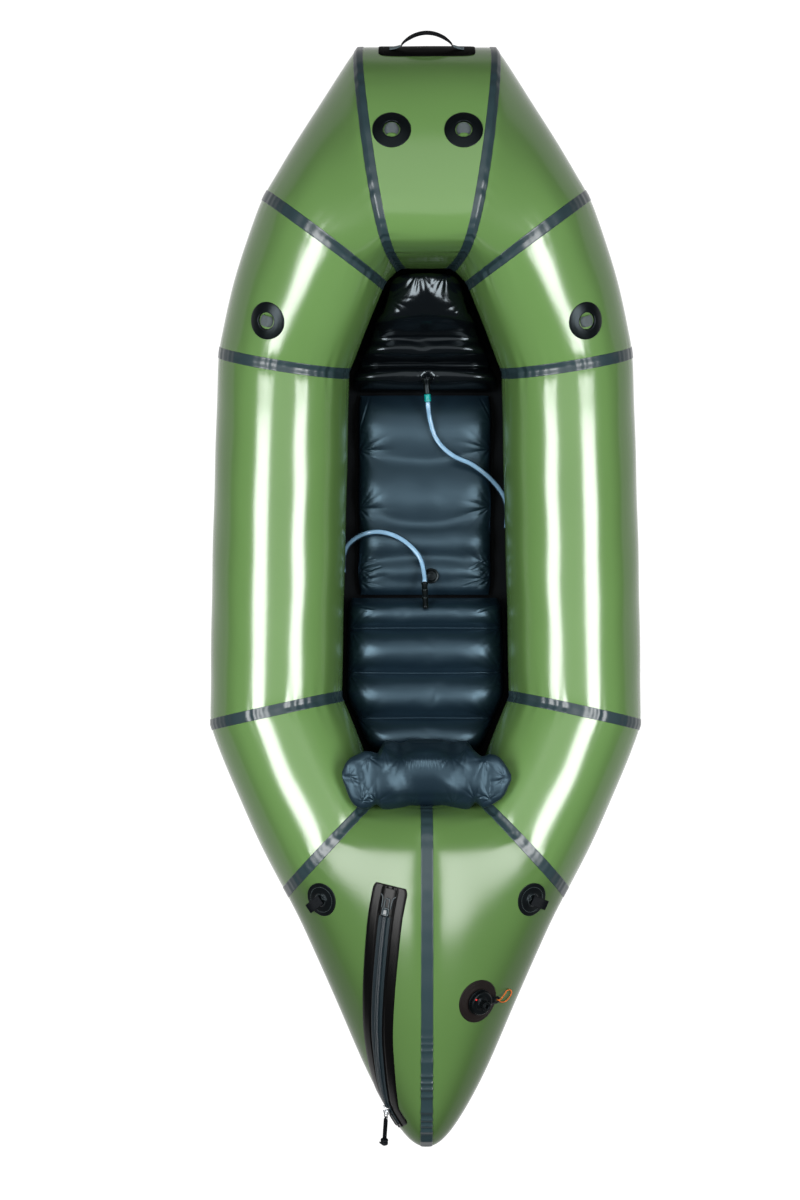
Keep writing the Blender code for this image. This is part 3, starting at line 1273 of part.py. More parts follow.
def make_foot_brace():
    """The foot brace: two rolls and a pad that climbs towards the bow, between the tubes."""
    heights = {"rear": BRACE_REAR_ROLL, "middle": BRACE_MIDDLE_ROLL, "top": BRACE_TOP}
    width, share = BRACE_REAR_END_SHARES
    loops = [closed_loop(BRACE_REAR, cockpit_half_width(BRACE_REAR) * width, BRACE_REAR_ROLL * share)]
    for roll, along, height in BRACE_ROLL_SHARES:
        y = BRACE_REAR + along * (BRACE_FRONT - BRACE_REAR)
        low, high = floor_top(y) + FIT, heights[roll] * height
        rim = low + (high - low) * BRACE_RIM_SHARE
        loops.append(pillow_loop(y, cockpit_half_width(y), low, high, rim))
    width, share = BRACE_FRONT_END_SHARES
    loops.append(closed_loop(BRACE_FRONT, cockpit_half_width(BRACE_FRONT) * width, BRACE_TOP * share))
    return lofted("foot_brace", np.array(loops), "brace_black")


def make_backrest():
    """The backrest: an air pillow across the boat, deep between the tubes, its ends on them.

    Lofted from left to right: its underside rises by a smooth step towards both ends, its
    thickness falls to a seam there, and its back follows the tubes behind it.
    """
    angle = np.linspace(0, 2 * math.pi, BACK_POINTS, endpoint=False)
    cos, sin = np.cos(angle), np.sin(angle)
    start, length = BACK_RISE_SHARES
    loops = []
    for share in np.linspace(-1, 1, BACK_STATIONS):
        reach = abs(share)
        rise = min(max((reach - start) / length, 0.0), 1.0)
        rise = rise * rise * (3 - 2 * rise)
        low = BACK_BOTTOM + (BACK_TOP - BACK_END_HEIGHT - BACK_BOTTOM) * rise
        high = BACK_TOP - BACK_DROP_SHARE * BACK_END_HEIGHT * reach ** 2
        pinch = math.sqrt(max(1 - reach ** 6, BACK_PINCH_SHARE))
        middle, half = (high + low) / 2, (high - low) / 2 * pinch
        thick = BACK_THICKNESS / 2 * pinch * (1 - BACK_SLIM_SHARE * reach ** 2)
        z = middle + half * np.sign(sin) * np.abs(sin) ** BACK_ROUND_SHARE
        lean = BACK_LEAN * (z - (BACK_TOP + BACK_BOTTOM) / 2) / (BACK_TOP - BACK_BOTTOM)
        seated = min(reach, BACK_SEATED_SHARE) * BACK_HALF_WIDTH
        wall = rear_wall(seated) - BACK_SINK
        behind = min(thick, BACK_CENTRE_Y - wall)
        y = BACK_CENTRE_Y + np.where(cos > 0, thick, behind) * cos - lean
        loops.append(np.stack((np.full(BACK_POINTS, share * BACK_HALF_WIDTH), y, z), axis=1))
    return lofted("backrest", np.array(loops), "seat_cloth")


def make_hose(name, edge, route, barb, length, diameter, finish):
    """A hose along its route and the barb at its mouth; returns the barb's far end and its way.

    The route is measured from a cushion's edge across the boat.
    """
    route = np.array(route) + np.array((0.0, edge, 0.0))
    tube(name, smooth_route(route, 20), HOSE_DIAMETER / 2, "hose_clear")
    start = route[0]
    back = unit(start - route[1])
    side = unit(np.cross(back, (0.0, 0.0, 1.0)))
    local = axes_matrix(start + back * FIT, side, np.cross(back, side), back)
    profile = [(share * diameter / 2, height * length) for share, height in BARB_PROFILE_SHARES]
    piece = turned(barb, profile, finish, local, steps=14)
    end = start + back * (length + 2 * FIT)
    return piece, axes_matrix(end, side, np.cross(back, side), back)


def make_hoses(mat, seat, brace):
    """The oral inflation valves of the foot brace and the seat, and their hoses."""
    _, neck_axes = make_hose("foot_brace_hose", BRACE_REAR, BRACE_HOSE_ROUTE, "foot_brace_barb",
                             BARB_LENGTH, BARB_DIAMETER, "barb_teal")
    half = BRACE_NECK_DIAMETER / 2
    profile = ((0.0, 0.0), (half, 0.0), (half, BRACE_NECK_LENGTH), (0.0, BRACE_NECK_LENGTH))
    neck = turned("foot_brace_neck", profile, "brace_black", neck_axes, steps=12)
    boolean(neck, grown(brace, FIT))
    stem, _ = make_hose("seat_hose", SEAT_FRONT, SEAT_HOSE_ROUTE, "seat_valve_stem",
                        SEAT_STEM_LENGTH, SEAT_STEM_DIAMETER, "rubber_black")
    boolean(stem, grown(seat, FIT))
    half, high = SEAT_VALVE_DIAMETER / 2, SEAT_VALVE_HEIGHT
    profile = [(0.0, MAT_WELD_THICKNESS - MAT_THICKNESS - high),
               (half, MAT_WELD_THICKNESS - MAT_THICKNESS - high)]
    profile += [(share * half, height * high) for share, height in SEAT_VALVE_PROFILE_SHARES]
    right, ahead = SEAT_VALVE_PLACE
    top = floor_top(0.0) + 2 * FIT + MAT_THICKNESS
    place = Matrix.Translation((right, SEAT_FRONT + ahead, top))
    base = turned("seat_valve_base", profile, "rubber_black", place, steps=16)
    boolean(base, grown(mat, FIT))


PANELS = make_panels()
make_tapes()
make_floor()
make_lash_tabs()
make_stern_loop("left")
make_stern_loop("right")
make_bow_handle()
make_zip()
make_valve(PANELS)
MAT = cushion("leg_mat", MAT_REAR, MAT_FRONT,
              channel_stations(MAT_WELD_SHARES, MAT_WELD_THICKNESS, MAT_THICKNESS), MAT_HALF_WIDTH)
SEAT = cushion("seat_cushion", SEAT_REAR, SEAT_FRONT,
               channel_stations(SEAT_WELD_SHARES, SEAT_WELD_THICKNESS, SEAT_THICKNESS),
               SEAT_HALF_WIDTH)
make_backrest()
make_hoses(MAT, SEAT, make_foot_brace())
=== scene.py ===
"""The looks of the packraft: its inflated skin, tapes, cushions, fittings, finishes and light.

Metres, +Z up, +Y the bow, +X the right side seen from above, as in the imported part. The hull
pieces are worked out from the same seam outlines as the part's own.
"""

import json
import math

import bpy
import numpy as np
from mathutils import Matrix, Vector


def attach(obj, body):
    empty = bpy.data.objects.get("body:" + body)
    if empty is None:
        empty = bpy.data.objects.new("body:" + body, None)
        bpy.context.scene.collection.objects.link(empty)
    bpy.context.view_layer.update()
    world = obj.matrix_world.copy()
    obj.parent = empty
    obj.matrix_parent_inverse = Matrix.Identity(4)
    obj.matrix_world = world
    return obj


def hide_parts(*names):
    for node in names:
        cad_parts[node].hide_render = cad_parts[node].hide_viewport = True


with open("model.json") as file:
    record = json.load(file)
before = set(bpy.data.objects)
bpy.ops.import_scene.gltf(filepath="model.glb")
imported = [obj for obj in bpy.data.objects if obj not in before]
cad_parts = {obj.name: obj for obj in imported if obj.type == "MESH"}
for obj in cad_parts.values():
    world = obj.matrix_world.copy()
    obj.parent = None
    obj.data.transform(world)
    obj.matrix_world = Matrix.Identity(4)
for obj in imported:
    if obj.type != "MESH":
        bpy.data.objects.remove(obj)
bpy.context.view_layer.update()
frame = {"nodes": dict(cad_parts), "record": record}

# The camera: straight down over the raft, found from the photo's perspective
CAMERA_PLACE = (-0.0548, 0.0, 4.0)
CAMERA_LENS = 53.76
CAMERA_SENSOR = 36.0

# Hull
HULL_LENGTH, HULL_WIDTH, TUBE_DIAMETER = 2.284, 0.930, 0.283
BOW_RISE, STERN_RISE, STERN_TIP_TILT = 0.105, 0.055, 0.020
FLOOR_WALL, FIT = 0.0013, 0.0003
SEAM_SHARES = {
    "bow": dict(x=0.299, y=1.0, span=1.591, turn=9.6, depth=1.272, egg=0.45, lean=(0.085, 0.0)),
    "shoulder": dict(x=0.729, y=0.743, span=1.105, turn=53.4, depth=1.095, egg=0.10,
                     lean=(0.037, -0.05)),
    "quarter": dict(x=0.956, y=0.468, span=1.004, turn=80.9, depth=0.996, egg=0.0,
                    lean=(0.0, -0.092)),
    "hip": dict(x=0.9946, y=-0.2356, span=1.0216, turn=102.3, depth=0.993, egg=0.0,
                lean=(0.0, 0.03)),
    "stern": dict(x=0.6376, y=-0.5442, span=1.035, turn=136.5, depth=1.025, egg=0.05,
                  lean=(0.034, 0.032)),
    "tail": dict(x=0.0, y=-1.0, span=2.534, turn=180.0, depth=1.237, egg=0.50, lean=(0.0, 0.0)),
}
RISE_SHARES = {"bow": 1.0, "shoulder": 0.76, "stern": 0.71, "tail": 1.0}
SEAMS = list(SEAM_SHARES)
PANEL_SEAMS = list(zip(SEAMS[:-1], SEAMS[1:]))
PANEL_NAMES = ("bow_shoulder", "bow_quarter", "side", "stern_quarter", "stern")
BOW_QUARTER, STERN = 1, 4
BULGE_SHARES = (0.042, 0.141, 0.042, 0.106, 0.0)
TAIL_TANGENT_SHARES = (1.1, 0.86)
SLOPE_STEP_SHARE = 0.0001
DRAPE_ROUNDS = 8

# The skin's own relief: the waist at a seam, its puckers, and the slow ripple of the cloth
WAIST_DEPTH = 0.0010
WAIST_REACH = 0.016
PUCKER_DEPTH = 0.0007
PUCKER_LENGTH = 0.026
PUCKER_REACH = 0.028
RIPPLE_DEPTH = 0.0004
RIPPLE_LENGTH = 0.21

TAPE_WIDTH, TAPE_WALL, TAPE_LIFT = 0.024, 0.0007, 0.0004
WRAP_SHARE = 2 / 24

GREEN = (0.103, 0.203, 0.059)
# the stern panels' green: the hull's green darkened as painted shade, for the light that falls off
# towards the stern
STERN_SHADED_GREEN = (0.076, 0.150, 0.043)
TAPE_GREY = (0.018, 0.036, 0.042)
SEAT_BLUE = (0.0038, 0.0100, 0.0170)
CUSHION_TINT = (0.52, 0.81, 1.0, 1.0)
LEVEL, TINT = "Specular IOR Level", "Specular Tint"

# Where the painted shade at a finish's edges begins and where it is darkest: 0 faces the eye, 1 is
# edge on
EDGE_SHADE_FROM, EDGE_SHADE_TO = 0.17, 0.42


# ---------------------------------------------------------------- meshes
def unit(vector):
    """The vector at length one, along the last axis."""
    return vector / np.maximum(np.linalg.norm(vector, axis=-1, keepdims=True), 1e-12)


def angles(count):
    """Angles at even steps once round."""
    return np.linspace(0, 2 * math.pi, count, endpoint=False)


def circle(count):
    """The cosines and the sines of angles at even steps once round."""
    return np.cos(angles(count)), np.sin(angles(count))


def bell(distance, width):
    """A bell curve: 1 at no distance, 1/e at the width."""
    return np.exp(-(distance / width) ** 2)


def signed_power(values, power):
    """A power that keeps the sign: it turns a circle's cosine and sine into a rounded oblong."""
    return np.sign(values) * np.abs(values) ** power


def mirrored(half):
    """A section across a strip: the (across, height) points of its right half, then its left."""
    return np.array(list(half) + [(-across, height) for across, height in half[::-1]])


def new_object(name, data):
    """An object with the given data, linked to the scene."""
    made = bpy.data.objects.new(name, data)
    bpy.context.scene.collection.objects.link(made)
    return made


def grid_faces(rows, columns, wrap_rows=False, wrap_columns=False):
    """Quads between neighbouring rows and columns of a grid of points."""
    i = np.arange(rows if wrap_rows else rows - 1)[:, None]
    j = np.arange(columns if wrap_columns else columns - 1)[None, :]
    k, m = (i + 1) % rows, (j + 1) % columns
    quads = np.stack([i * columns + j, i * columns + m, k * columns + m, k * columns + j], axis=-1)
    return quads.reshape(-1, 4)


def piece(name, points, faces, finish, body="raft", node=(), uv=None):
    """A mesh object at the origin: its finish, the body it rides on and the node it replaces."""
    mesh = bpy.data.meshes.new(name)
    mesh.from_pydata(np.asarray(points, float).tolist(), [], [list(face) for face in faces])
    mesh.validate()
    if uv is not None:
        layer = mesh.uv_layers.new(name="way")
        loops = np.zeros(len(mesh.loops), int)
        mesh.loops.foreach_get("vertex_index", loops)
        layer.data.foreach_set("uv", np.asarray(uv, float)[loops].ravel())
    mesh.shade_smooth()
    mesh.materials.append(FINISHES[finish])
    made = new_object(name, mesh)
    if body:
        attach(made, body)
    for old in ([node] if isinstance(node, str) else node):
        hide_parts(old)
    return made


def volume(points, faces):
    """The signed volume inside the faces, positive where they point outwards."""
    total = 0.0
    for size in {len(face) for face in faces}:
        corners = points[np.array([face for face in faces if len(face) == size])]
        total += np.sum(np.cross(corners[:, 1:-1], corners[:, 2:]) * corners[:, :1])
    return total


def outwards(points, faces):
    """The faces of a closed form, all turned round where they enclose a negative volume."""
    if volume(points - points.mean(axis=0), faces) < 0:
        return [face[::-1] for face in faces]
    return faces


def grid_piece(name, points, finish, form="tube", normals=None, uv=None, **rest):
    """A piece through rows of points, turned outwards: by the normals, or by its volume.

    A tube's rows are loops, and its first and last are filled in; a sleeve leaves them open, a
    ring joins them to each other, and a sheet's rows are no loops.
    """
    points = np.asarray(points)
    rows, columns = points.shape[:2]
    flat = points.reshape(-1, 3)
    faces = grid_faces(rows, columns, form == "ring", form != "sheet")
    if normals is not None:
        corners = flat[faces]
        facing = np.cross(corners[:, 2] - corners[:, 0], corners[:, 3] - corners[:, 1])
        if np.sum(facing * normals.reshape(-1, 3)[faces[:, 0]]) < 0:
            faces = faces[:, ::-1]
    faces = faces.tolist()
    if uv is not None:
        uv = np.asarray(uv)
    if form == "tube":
        flat = np.vstack((flat, points[0].mean(axis=0), points[-1].mean(axis=0)))
        count = rows * columns
        last = (rows - 1) * columns
        for j in range(columns):
            k = (j + 1) % columns
            faces.append([count, k, j])
            faces.append([count + 1, last + j, last + k])
        if uv is not None:
            uv = np.concatenate((uv.reshape(-1, 2), uv[0].mean(axis=0)[None],
                                 uv[-1].mean(axis=0)[None]))
    if normals is None:
        faces = outwards(flat, faces)
    if uv is not None:
        uv = uv.reshape(-1, 2)
    return piece(name, flat, faces, finish, uv=uv, **rest)


# ---------------------------------------------------------------- sweeps and turned forms
ROUTE_STEPS = 40
THREAD_SHAPE = ((0.0, 0.25), (0.15, 0.9), (0.5, 1.0), (0.85, 0.9), (1.0, 0.25))


def run_of(line):
    """The distance run along a line of points, at each point."""
    return np.append(0.0, np.cumsum(np.linalg.norm(np.diff(line, axis=0), axis=1)))


def spread(line, count, closed=False):
    """A line's points spread evenly along it; a closed line comes back to its start."""
    if closed:
        line = np.vstack((line, line[:1]))
    run = run_of(line)
    even = np.linspace(0, run[-1], count, endpoint=not closed)
    return np.stack([np.interp(even, run, line[:, k]) for k in range(3)], axis=1)


def curve_part(before, start, end, after, part):
    """Catmull-Rom: the cubic from start to end, its slopes set by the points on either side."""
    return 0.5 * (2 * start + (end - before) * part
                  + (2 * before - 5 * start + 4 * end - after) * part ** 2
                  + (3 * start - before - 3 * end + after) * part ** 3)


def smooth_route(knots, count):
    """Evenly spread points of a Catmull-Rom curve through the knots."""
    knots = np.asarray(knots, float)
    padded = np.vstack((2 * knots[0] - knots[1], knots, 2 * knots[-1] - knots[-2]))
    parts = len(knots) - 1
    fine = [curve_part(*padded[i:i + 4],
                       np.linspace(0, 1, ROUTE_STEPS, endpoint=i == parts - 1)[:, None])
            for i in range(parts)]
    return spread(np.vstack(fine), count)


def tangents(line, closed=False):
    """The way a line heads at each point, from its neighbours."""
    if closed:
        return unit(np.roll(line, -1, axis=0) - np.roll(line, 1, axis=0))
    return unit(np.gradient(line, axis=0))


def carried(line, closed=False):
    """Side and up vectors carried along a line without twist: each turned like its tangent."""
    way = tangents(line, closed)
    side = np.cross(way[0], (0.0, 0.0, 1.0))
    if np.linalg.norm(side) < 0.1:
        side = np.cross(way[0], (0.0, 1.0, 0.0))
    sides = [unit(side)]
    for heading in way[1:]:
        sides.append(unit(sides[-1] - sides[-1].dot(heading) * heading))
    sides = np.array(sides)
    return sides, np.cross(sides, way)


def sweep(name, line, section, finish, side=None, up=None, closed=False, **rest):
    """A closed section of (across, rise) carried along a line; its way map is in metres.

    The section is one list of pairs, or one list for each point of the line. side and up are
    one vector each or one for each point; without up, the section stands square to the line.
    """
    if side is None:
        side, up = carried(line, closed)
    elif up is None:
        up = np.cross(side, tangents(line, closed))
    side, up = np.broadcast_to(side, line.shape), np.broadcast_to(up, line.shape)
    section = np.asarray(section, float)
    section = np.broadcast_to(section, (len(line), *section.shape[-2:]))
    points = (line[:, None] + side[:, None] * section[..., :1] + up[:, None] * section[..., 1:])
    run = run_of(line)[:, None]
    around = section[..., 0] + section[..., 1]
    uv = np.stack((np.broadcast_to(run, around.shape), around), axis=-1)
    return grid_piece(name, points, finish, "ring" if closed else "tube", uv=uv, **rest)


def ring_section(radius, count=16):
    """A round section."""
    cos, sin = circle(count)
    return np.stack((radius * cos, radius * sin), axis=1)


def strap_section(width, wall, count=28):
    """A webbing's section: flat faces and round edges, as a superellipse."""
    cos, sin = circle(count)
    return np.stack((width / 2 * signed_power(cos, 0.35), wall / 2 * signed_power(sin, 0.7)),
                    axis=1)


def strap_sections(widths, wall):
    """A webbing's sections where its width changes along it."""
    return np.stack([strap_section(1.0, wall) * (width, 1.0) for width in widths])


def rounded(profile, radius, steps=4, closed=False):
    """A profile's corners rounded off: each replaced by a short quadratic curve."""
    profile = np.asarray(profile, float)
    count = len(profile)
    out = []
    for i, corner in enumerate(profile):
        if not closed and i in (0, count - 1):
            out.append(corner)
            continue
        before, after = profile[i - 1], profile[(i + 1) % count]
        back, ahead = before - corner, after - corner
        cut = min(radius, np.linalg.norm(back) * 0.45, np.linalg.norm(ahead) * 0.45)
        first, last = corner + unit(back) * cut, corner + unit(ahead) * cut
        for part in np.linspace(0, 1, steps + 1):
            out.append((1 - part) ** 2 * first + 2 * part * (1 - part) * corner + part ** 2 * last)
    return np.array(out)


def turned(name, profile, place, finish, steps=64, wave=None, ring=False, **rest):
    """A turned form: a profile of (radius, height) round the place's axis.

    Its ends are closed, or a ring's closed profile leaves a bore. place is (point, right,
    forward, out). wave gives a share of the radius to add, from the angle and the profile.
    """
    point, right, forward, out = place
    angle = angles(steps)
    profile = np.asarray(profile, float)
    radius = np.repeat(profile[:, :1], steps, axis=1)
    if wave is not None:
        radius = radius * (1 + wave(angle[None, :], profile))
    points = (point + (radius * np.cos(angle))[..., None] * right
              + (radius * np.sin(angle))[..., None] * forward + profile[:, 1][:, None, None] * out)
    return grid_piece(name, points, finish, "ring" if ring else "tube", **rest)


def draped_turned(name, spot, profile, finish, steps=96, ring=False, outline=None, **rest):
    """A plate on the cloth: a profile of (radius, height) round the spot, following the hull.

    outline turns a circle's cosine and sine into the two offsets of another unit shape.
    """
    cos, sin = circle(steps)
    if outline:
        cos, sin = outline(cos, sin)
    radius, height = profile[:, :1], profile[:, 1:]
    right, forward = radius * cos, radius * sin
    points, normals = spot.drape(right, forward)
    return grid_piece(name, points + normals * height[..., None], finish,
                      "ring" if ring else "tube", uv=np.stack((right, forward), axis=-1), **rest)


def layered(origin, axes, x, y, levels):
    """Rows of one outline, x and y along the first two axes, at levels of (scale, height)."""
    across, along, out = axes
    return [origin + x[:, None] * scale * across + y[:, None] * scale * along + out * height
            for scale, height in levels]


def stitches(name, rows, spot, height, finish, length=0.0030, thick=0.00045, **rest):
    """Threads on the cloth: short round-ended stitches along lines of (right, forward)."""
    points, faces = [], []
    rings, around = len(THREAD_SHAPE), 8
    cos, sin = circle(around)
    for row in rows:
        row = np.asarray(row, float)
        run = run_of(row)
        count = max(int(run[-1] / (length * 1.25)), 1)
        for middle in (np.arange(count) + 0.5) * run[-1] / count:
            ends = np.stack([np.interp((middle - length / 2, middle + length / 2), run, row[:, k])
                             for k in range(2)], axis=1)
            base, normals = spot.drape(ends[:, 0], ends[:, 1])
            way = unit(base[1] - base[0])
            side = unit(np.cross(way, normals[0]))
            start = len(points)
            for part, swell in THREAD_SHAPE:
                centre = base[0] * (1 - part) + base[1] * part
                centre = centre + normals[0] * (height + thick * 0.2 * swell)
                points += list(centre + (side * cos[:, None] + normals[0] * sin[:, None])
                               * thick * swell)
            faces += (grid_faces(rings, around, wrap_columns=True) + start).tolist()
            faces += [list(range(start, start + around))[::-1],
                      list(range(len(points) - around, len(points)))]
    points = np.array(points)
    return piece(name, points, outwards(points, faces), finish, uv=points[:, :2], **rest)


# ---------------------------------------------------------------- the hull's surface
def seam_outline(seam, angle):
    """Points on the hull's outline at a seam of the right side.

    centre + across (cos - egg sin^2) + up sin: the angle is 0 at the outer edge, a quarter
    turn at the crown and half a turn at the cockpit.
    """
    share = SEAM_SHARES[seam]
    turn = math.radians(share["turn"])
    half_depth = share["depth"] * TUBE_DIAMETER / 2
    rise = STERN_RISE if seam in ("stern", "tail") else BOW_RISE
    height = FLOOR_WALL + FIT + RISE_SHARES.get(seam, 0.0) * rise + half_depth
    outer = np.array((share["x"] * HULL_WIDTH / 2, share["y"] * HULL_LENGTH / 2, height))
    half = np.array((math.sin(turn), math.cos(turn), 0.0)) * share["span"] * TUBE_DIAMETER / 2
    centre = outer - half
    if seam == "tail":
        half = half + np.array((0.0, 0.0, STERN_TIP_TILT))
    lean_x, lean_y = share["lean"]
    up = np.array((lean_x * TUBE_DIAMETER, lean_y * TUBE_DIAMETER, half_depth))
    angle = np.asarray(angle, float)[..., None]
    return centre + (np.cos(angle) - share["egg"] * np.sin(angle) ** 2) * half + np.sin(angle) * up


def hull_point(panel, side, along, angle):
    """Points on the hull: straight between two seams with an outward bulge, and on the stern
    panel a cubic that meets its twin square on at the tail."""
    along, angle = np.broadcast_arrays(np.asarray(along, float), np.asarray(angle, float))
    part = along[..., None]
    if panel == "bow":
        points = seam_outline("bow", angle).copy()
        points[..., 0] *= 1 - 2 * along
        return points
    fore, aft = PANEL_SEAMS[panel]
    start, end = seam_outline(fore, angle), seam_outline(aft, angle)
    chord = end - start
    if aft == "tail":
        leave = TAIL_TANGENT_SHARES[0] * chord
        meet = TAIL_TANGENT_SHARES[1] * chord * np.array((1.0, 0.0, 0.0))
        points = ((2 * part ** 3 - 3 * part ** 2 + 1) * start
                  + (part ** 3 - 2 * part ** 2 + part) * leave
                  + (3 * part ** 2 - 2 * part ** 3) * end + (part ** 3 - part ** 2) * meet)
    else:
        outward = sum(unit(seam_outline(s, 0.0) - seam_outline(s, math.pi)) for s in (fore, aft))
        outward = unit(outward * np.array((1.0, 1.0, 0.0)))
        bulge = BULGE_SHARES[panel] * TUBE_DIAMETER * (1 + np.cos(angle))[..., None] / 2
        points = start + part * chord + part * (1 - part) * bulge * outward
    if side == "left":
        points = points * np.array((-1.0, 1.0, 1.0))
    return points


def hull_slopes(panel, side, along, angle):
    """How the hull point moves with each of its two parameters, by small differences."""
    small = SLOPE_STEP_SHARE
    by_along = (hull_point(panel, side, along + small, angle)
                - hull_point(panel, side, along - small, angle)) / (2 * small)
    by_angle = (hull_point(panel, side, along, angle + small)
                - hull_point(panel, side, along, angle - small)) / (2 * small)
    return by_along, by_angle


def hull_normal(panel, side, along, angle):
    """The hull's outward normal."""
    by_along, by_angle = hull_slopes(panel, side, along, angle)
    normal = unit(np.cross(by_angle, by_along))
    return -normal if side == "left" or panel == "bow" else normal


def skin_relief(panel, along, angle):
    """How far the cloth stands off the plain surface.

    The seams hold the cloth in, so it waists there and puckers across the seam; the puckers
    die away with distance and are deepest on the cockpit's side of the mitre. Two slow sines
    ripple the rest.
    """
    along, angle = np.broadcast_arrays(np.asarray(along, float), np.asarray(angle, float))
    if panel == "bow":
        length = 2 * np.abs(seam_outline("bow", angle)[..., 0])
    else:
        fore, aft = PANEL_SEAMS[panel]
        length = np.linalg.norm(seam_outline(aft, angle) - seam_outline(fore, angle), axis=-1)
    relief = np.zeros(along.shape)
    number = len(PANEL_NAMES) if panel == "bow" else panel
    arc = angle * TUBE_DIAMETER / 2
    for share, next_seam in ((along, 0), (1 - along, 1)):
        # the same pattern on both sides of a seam, as one fold crosses it
        seam = 0 if panel == "bow" else panel + next_seam
        away = np.clip(share, 0, None) * length
        relief -= WAIST_DEPTH * bell(away, WAIST_REACH)
        phase = arc * 2 * math.pi / PUCKER_LENGTH
        fold = np.sin(phase + 1.9 * np.sin(phase * 0.23 + seam) + seam * 2.1)
        fold = fold * (0.55 + 0.45 * np.sin(phase * 0.37 + 1.3 * seam))
        inner = 0.6 + 1.6 * ((1 - np.cos(angle)) / 2) ** 2
        relief += PUCKER_DEPTH * inner * fold * np.exp(-away / PUCKER_REACH)
    run = along * length
    ripple = np.sin(2 * math.pi * (run / RIPPLE_LENGTH + 0.35 * np.sin(angle * 2 + number)))
    ripple = ripple + 0.6 * np.sin(2 * math.pi * run / RIPPLE_LENGTH / 2.7 + angle * 3 + number)
    return relief + RIPPLE_DEPTH * ripple * np.clip(np.minimum(along, 1 - along) * 8, 0, 1)


def skin_point(panel, side, along, angle):
    """Points on the cloth, relief and all."""
    relief = skin_relief(panel, along, angle)[..., None]
    return hull_point(panel, side, along, angle) + hull_normal(panel, side, along, angle) * relief


class Spot:
    """A place on the hull: its point, and axes to the right, to the bow and outwards."""

    def __init__(self, panel, side, along, angle):
        self.panel, self.side, self.along, self.angle = panel, side, along, angle
        self.point = hull_point(panel, side, along, angle)
        self.out = hull_normal(panel, side, along, angle)
        forward = np.array((0.0, 1.0, 0.0))
        self.forward = unit(forward - forward.dot(self.out) * self.out)
        self.right = np.cross(self.forward, self.out)

    def drape(self, right, forward):
        """Points of the cloth and normals at tangent-plane offsets, by Newton's method."""
        along = np.full(np.shape(right), self.along)
        angle = np.full(np.shape(right), self.angle)
        for _ in range(DRAPE_ROUNDS):
            offset = hull_point(self.panel, self.side, along, angle) - self.point
            miss_right, miss_forward = right - offset @ self.right, forward - offset @ self.forward
            by_along, by_angle = hull_slopes(self.panel, self.side, along, angle)
            a, b = by_along @ self.right, by_angle @ self.right
            c, d = by_along @ self.forward, by_angle @ self.forward
            scale = a * d - b * c
            along = along + (d * miss_right - b * miss_forward) / scale
            angle = angle + (a * miss_forward - c * miss_right) / scale
        normals = hull_normal(self.panel, self.side, along, angle)
        relief = skin_relief(self.panel, along, angle)[..., None]
        return hull_point(self.panel, self.side, along, angle) + normals * relief, normals

    def place(self, right, forward, out):
        """A point at offsets along the spot's axes, without draping."""
        return (self.point + np.asarray(right)[..., None] * self.right
                + np.asarray(forward)[..., None] * self.forward
                + np.asarray(out)[..., None] * self.out)


# ---------------------------------------------------------------- materials
class Graph:
    """Adds nodes to a tree: inputs are sockets to link or values to set."""

    def __init__(self, tree):
        self.tree = tree

    def add(self, kind, inputs=(), **settings):
        """A node with its settings, and its inputs linked or set."""
        node = self.tree.nodes.new(kind)
        for key, value in settings.items():
            setattr(node, key, value)
        for key, value in dict(inputs).items():
            if isinstance(value, bpy.types.NodeSocket):
                self.tree.links.new(value, node.inputs[key])
            elif node.inputs[key].type == "RGBA" and len(value) == 3:
                node.inputs[key].default_value = (*value, 1.0)
            else:
                node.inputs[key].default_value = value
        return node

    def math(self, operation, first, second=0.0, third=0.0):
        """One sum on up to three values."""
        made = self.add("ShaderNodeMath", {0: first, 1: second, 2: third}, operation=operation)
        return made.outputs[0]

    def mix(self, factor, first, second, blend="MIX"):
        """One colour blended over another."""
        node = self.add("ShaderNodeMix", data_type="RGBA", blend_type=blend)
        for socket, value in (("Factor_Float", factor), ("A_Color", first), ("B_Color", second)):
            target = next(s for s in node.inputs if s.identifier == socket)
            if isinstance(value, bpy.types.NodeSocket):
                self.tree.links.new(value, target)
            elif socket == "Factor_Float":
                target.default_value = value
            else:
                target.default_value = (*value[:3], 1.0)
        return next(s for s in node.outputs if s.identifier == "Result_Color")

    def shaded(self, colour, light):
        """A colour times a brightness."""
        grey = self.add("ShaderNodeCombineColor", {0: light, 1: light, 2: light}).outputs[0]
        return self.mix(1.0, colour, grey, "MULTIPLY")

    def noise(self, scale, detail, rough=0.5):
        """Noise on the piece's Object coordinates."""
        place = self.add("ShaderNodeTexCoord").outputs["Object"]
        return self.add("ShaderNodeTexNoise", {"Vector": place, "Scale": scale, "Detail": detail,
                                               "Roughness": rough}).outputs["Fac"]

    def bump(self, height, strength, distance):
        """A normal bent by a height."""
        return self.add("ShaderNodeBump", {"Height": height, "Strength": strength,
                                           "Distance": distance}).outputs["Normal"]


def effect_group(name, sockets, build):
    """A node group with the outputs Colour, Roughness and Normal; sockets: input to default."""
    group = bpy.data.node_groups.new(name, "ShaderNodeTree")
    for label, value in {"Colour": (0.5, 0.5, 0.5), **sockets}.items():
        kind = "Color" if isinstance(value, tuple) else "Float"
        made = group.interface.new_socket(label, in_out="INPUT", socket_type=f"NodeSocket{kind}")
        made.default_value = (*value, 1.0) if isinstance(value, tuple) else value
    for label, kind in (("Colour", "Color"), ("Roughness", "Float"), ("Normal", "Vector")):
        group.interface.new_socket(label, in_out="OUTPUT", socket_type=f"NodeSocket{kind}")
    graph = Graph(group)
    given = graph.add("NodeGroupInput")
    colour, roughness, normal = build(graph, given.outputs)
    graph.add("NodeGroupOutput", {"Colour": colour, "Roughness": roughness, "Normal": normal})
    return group


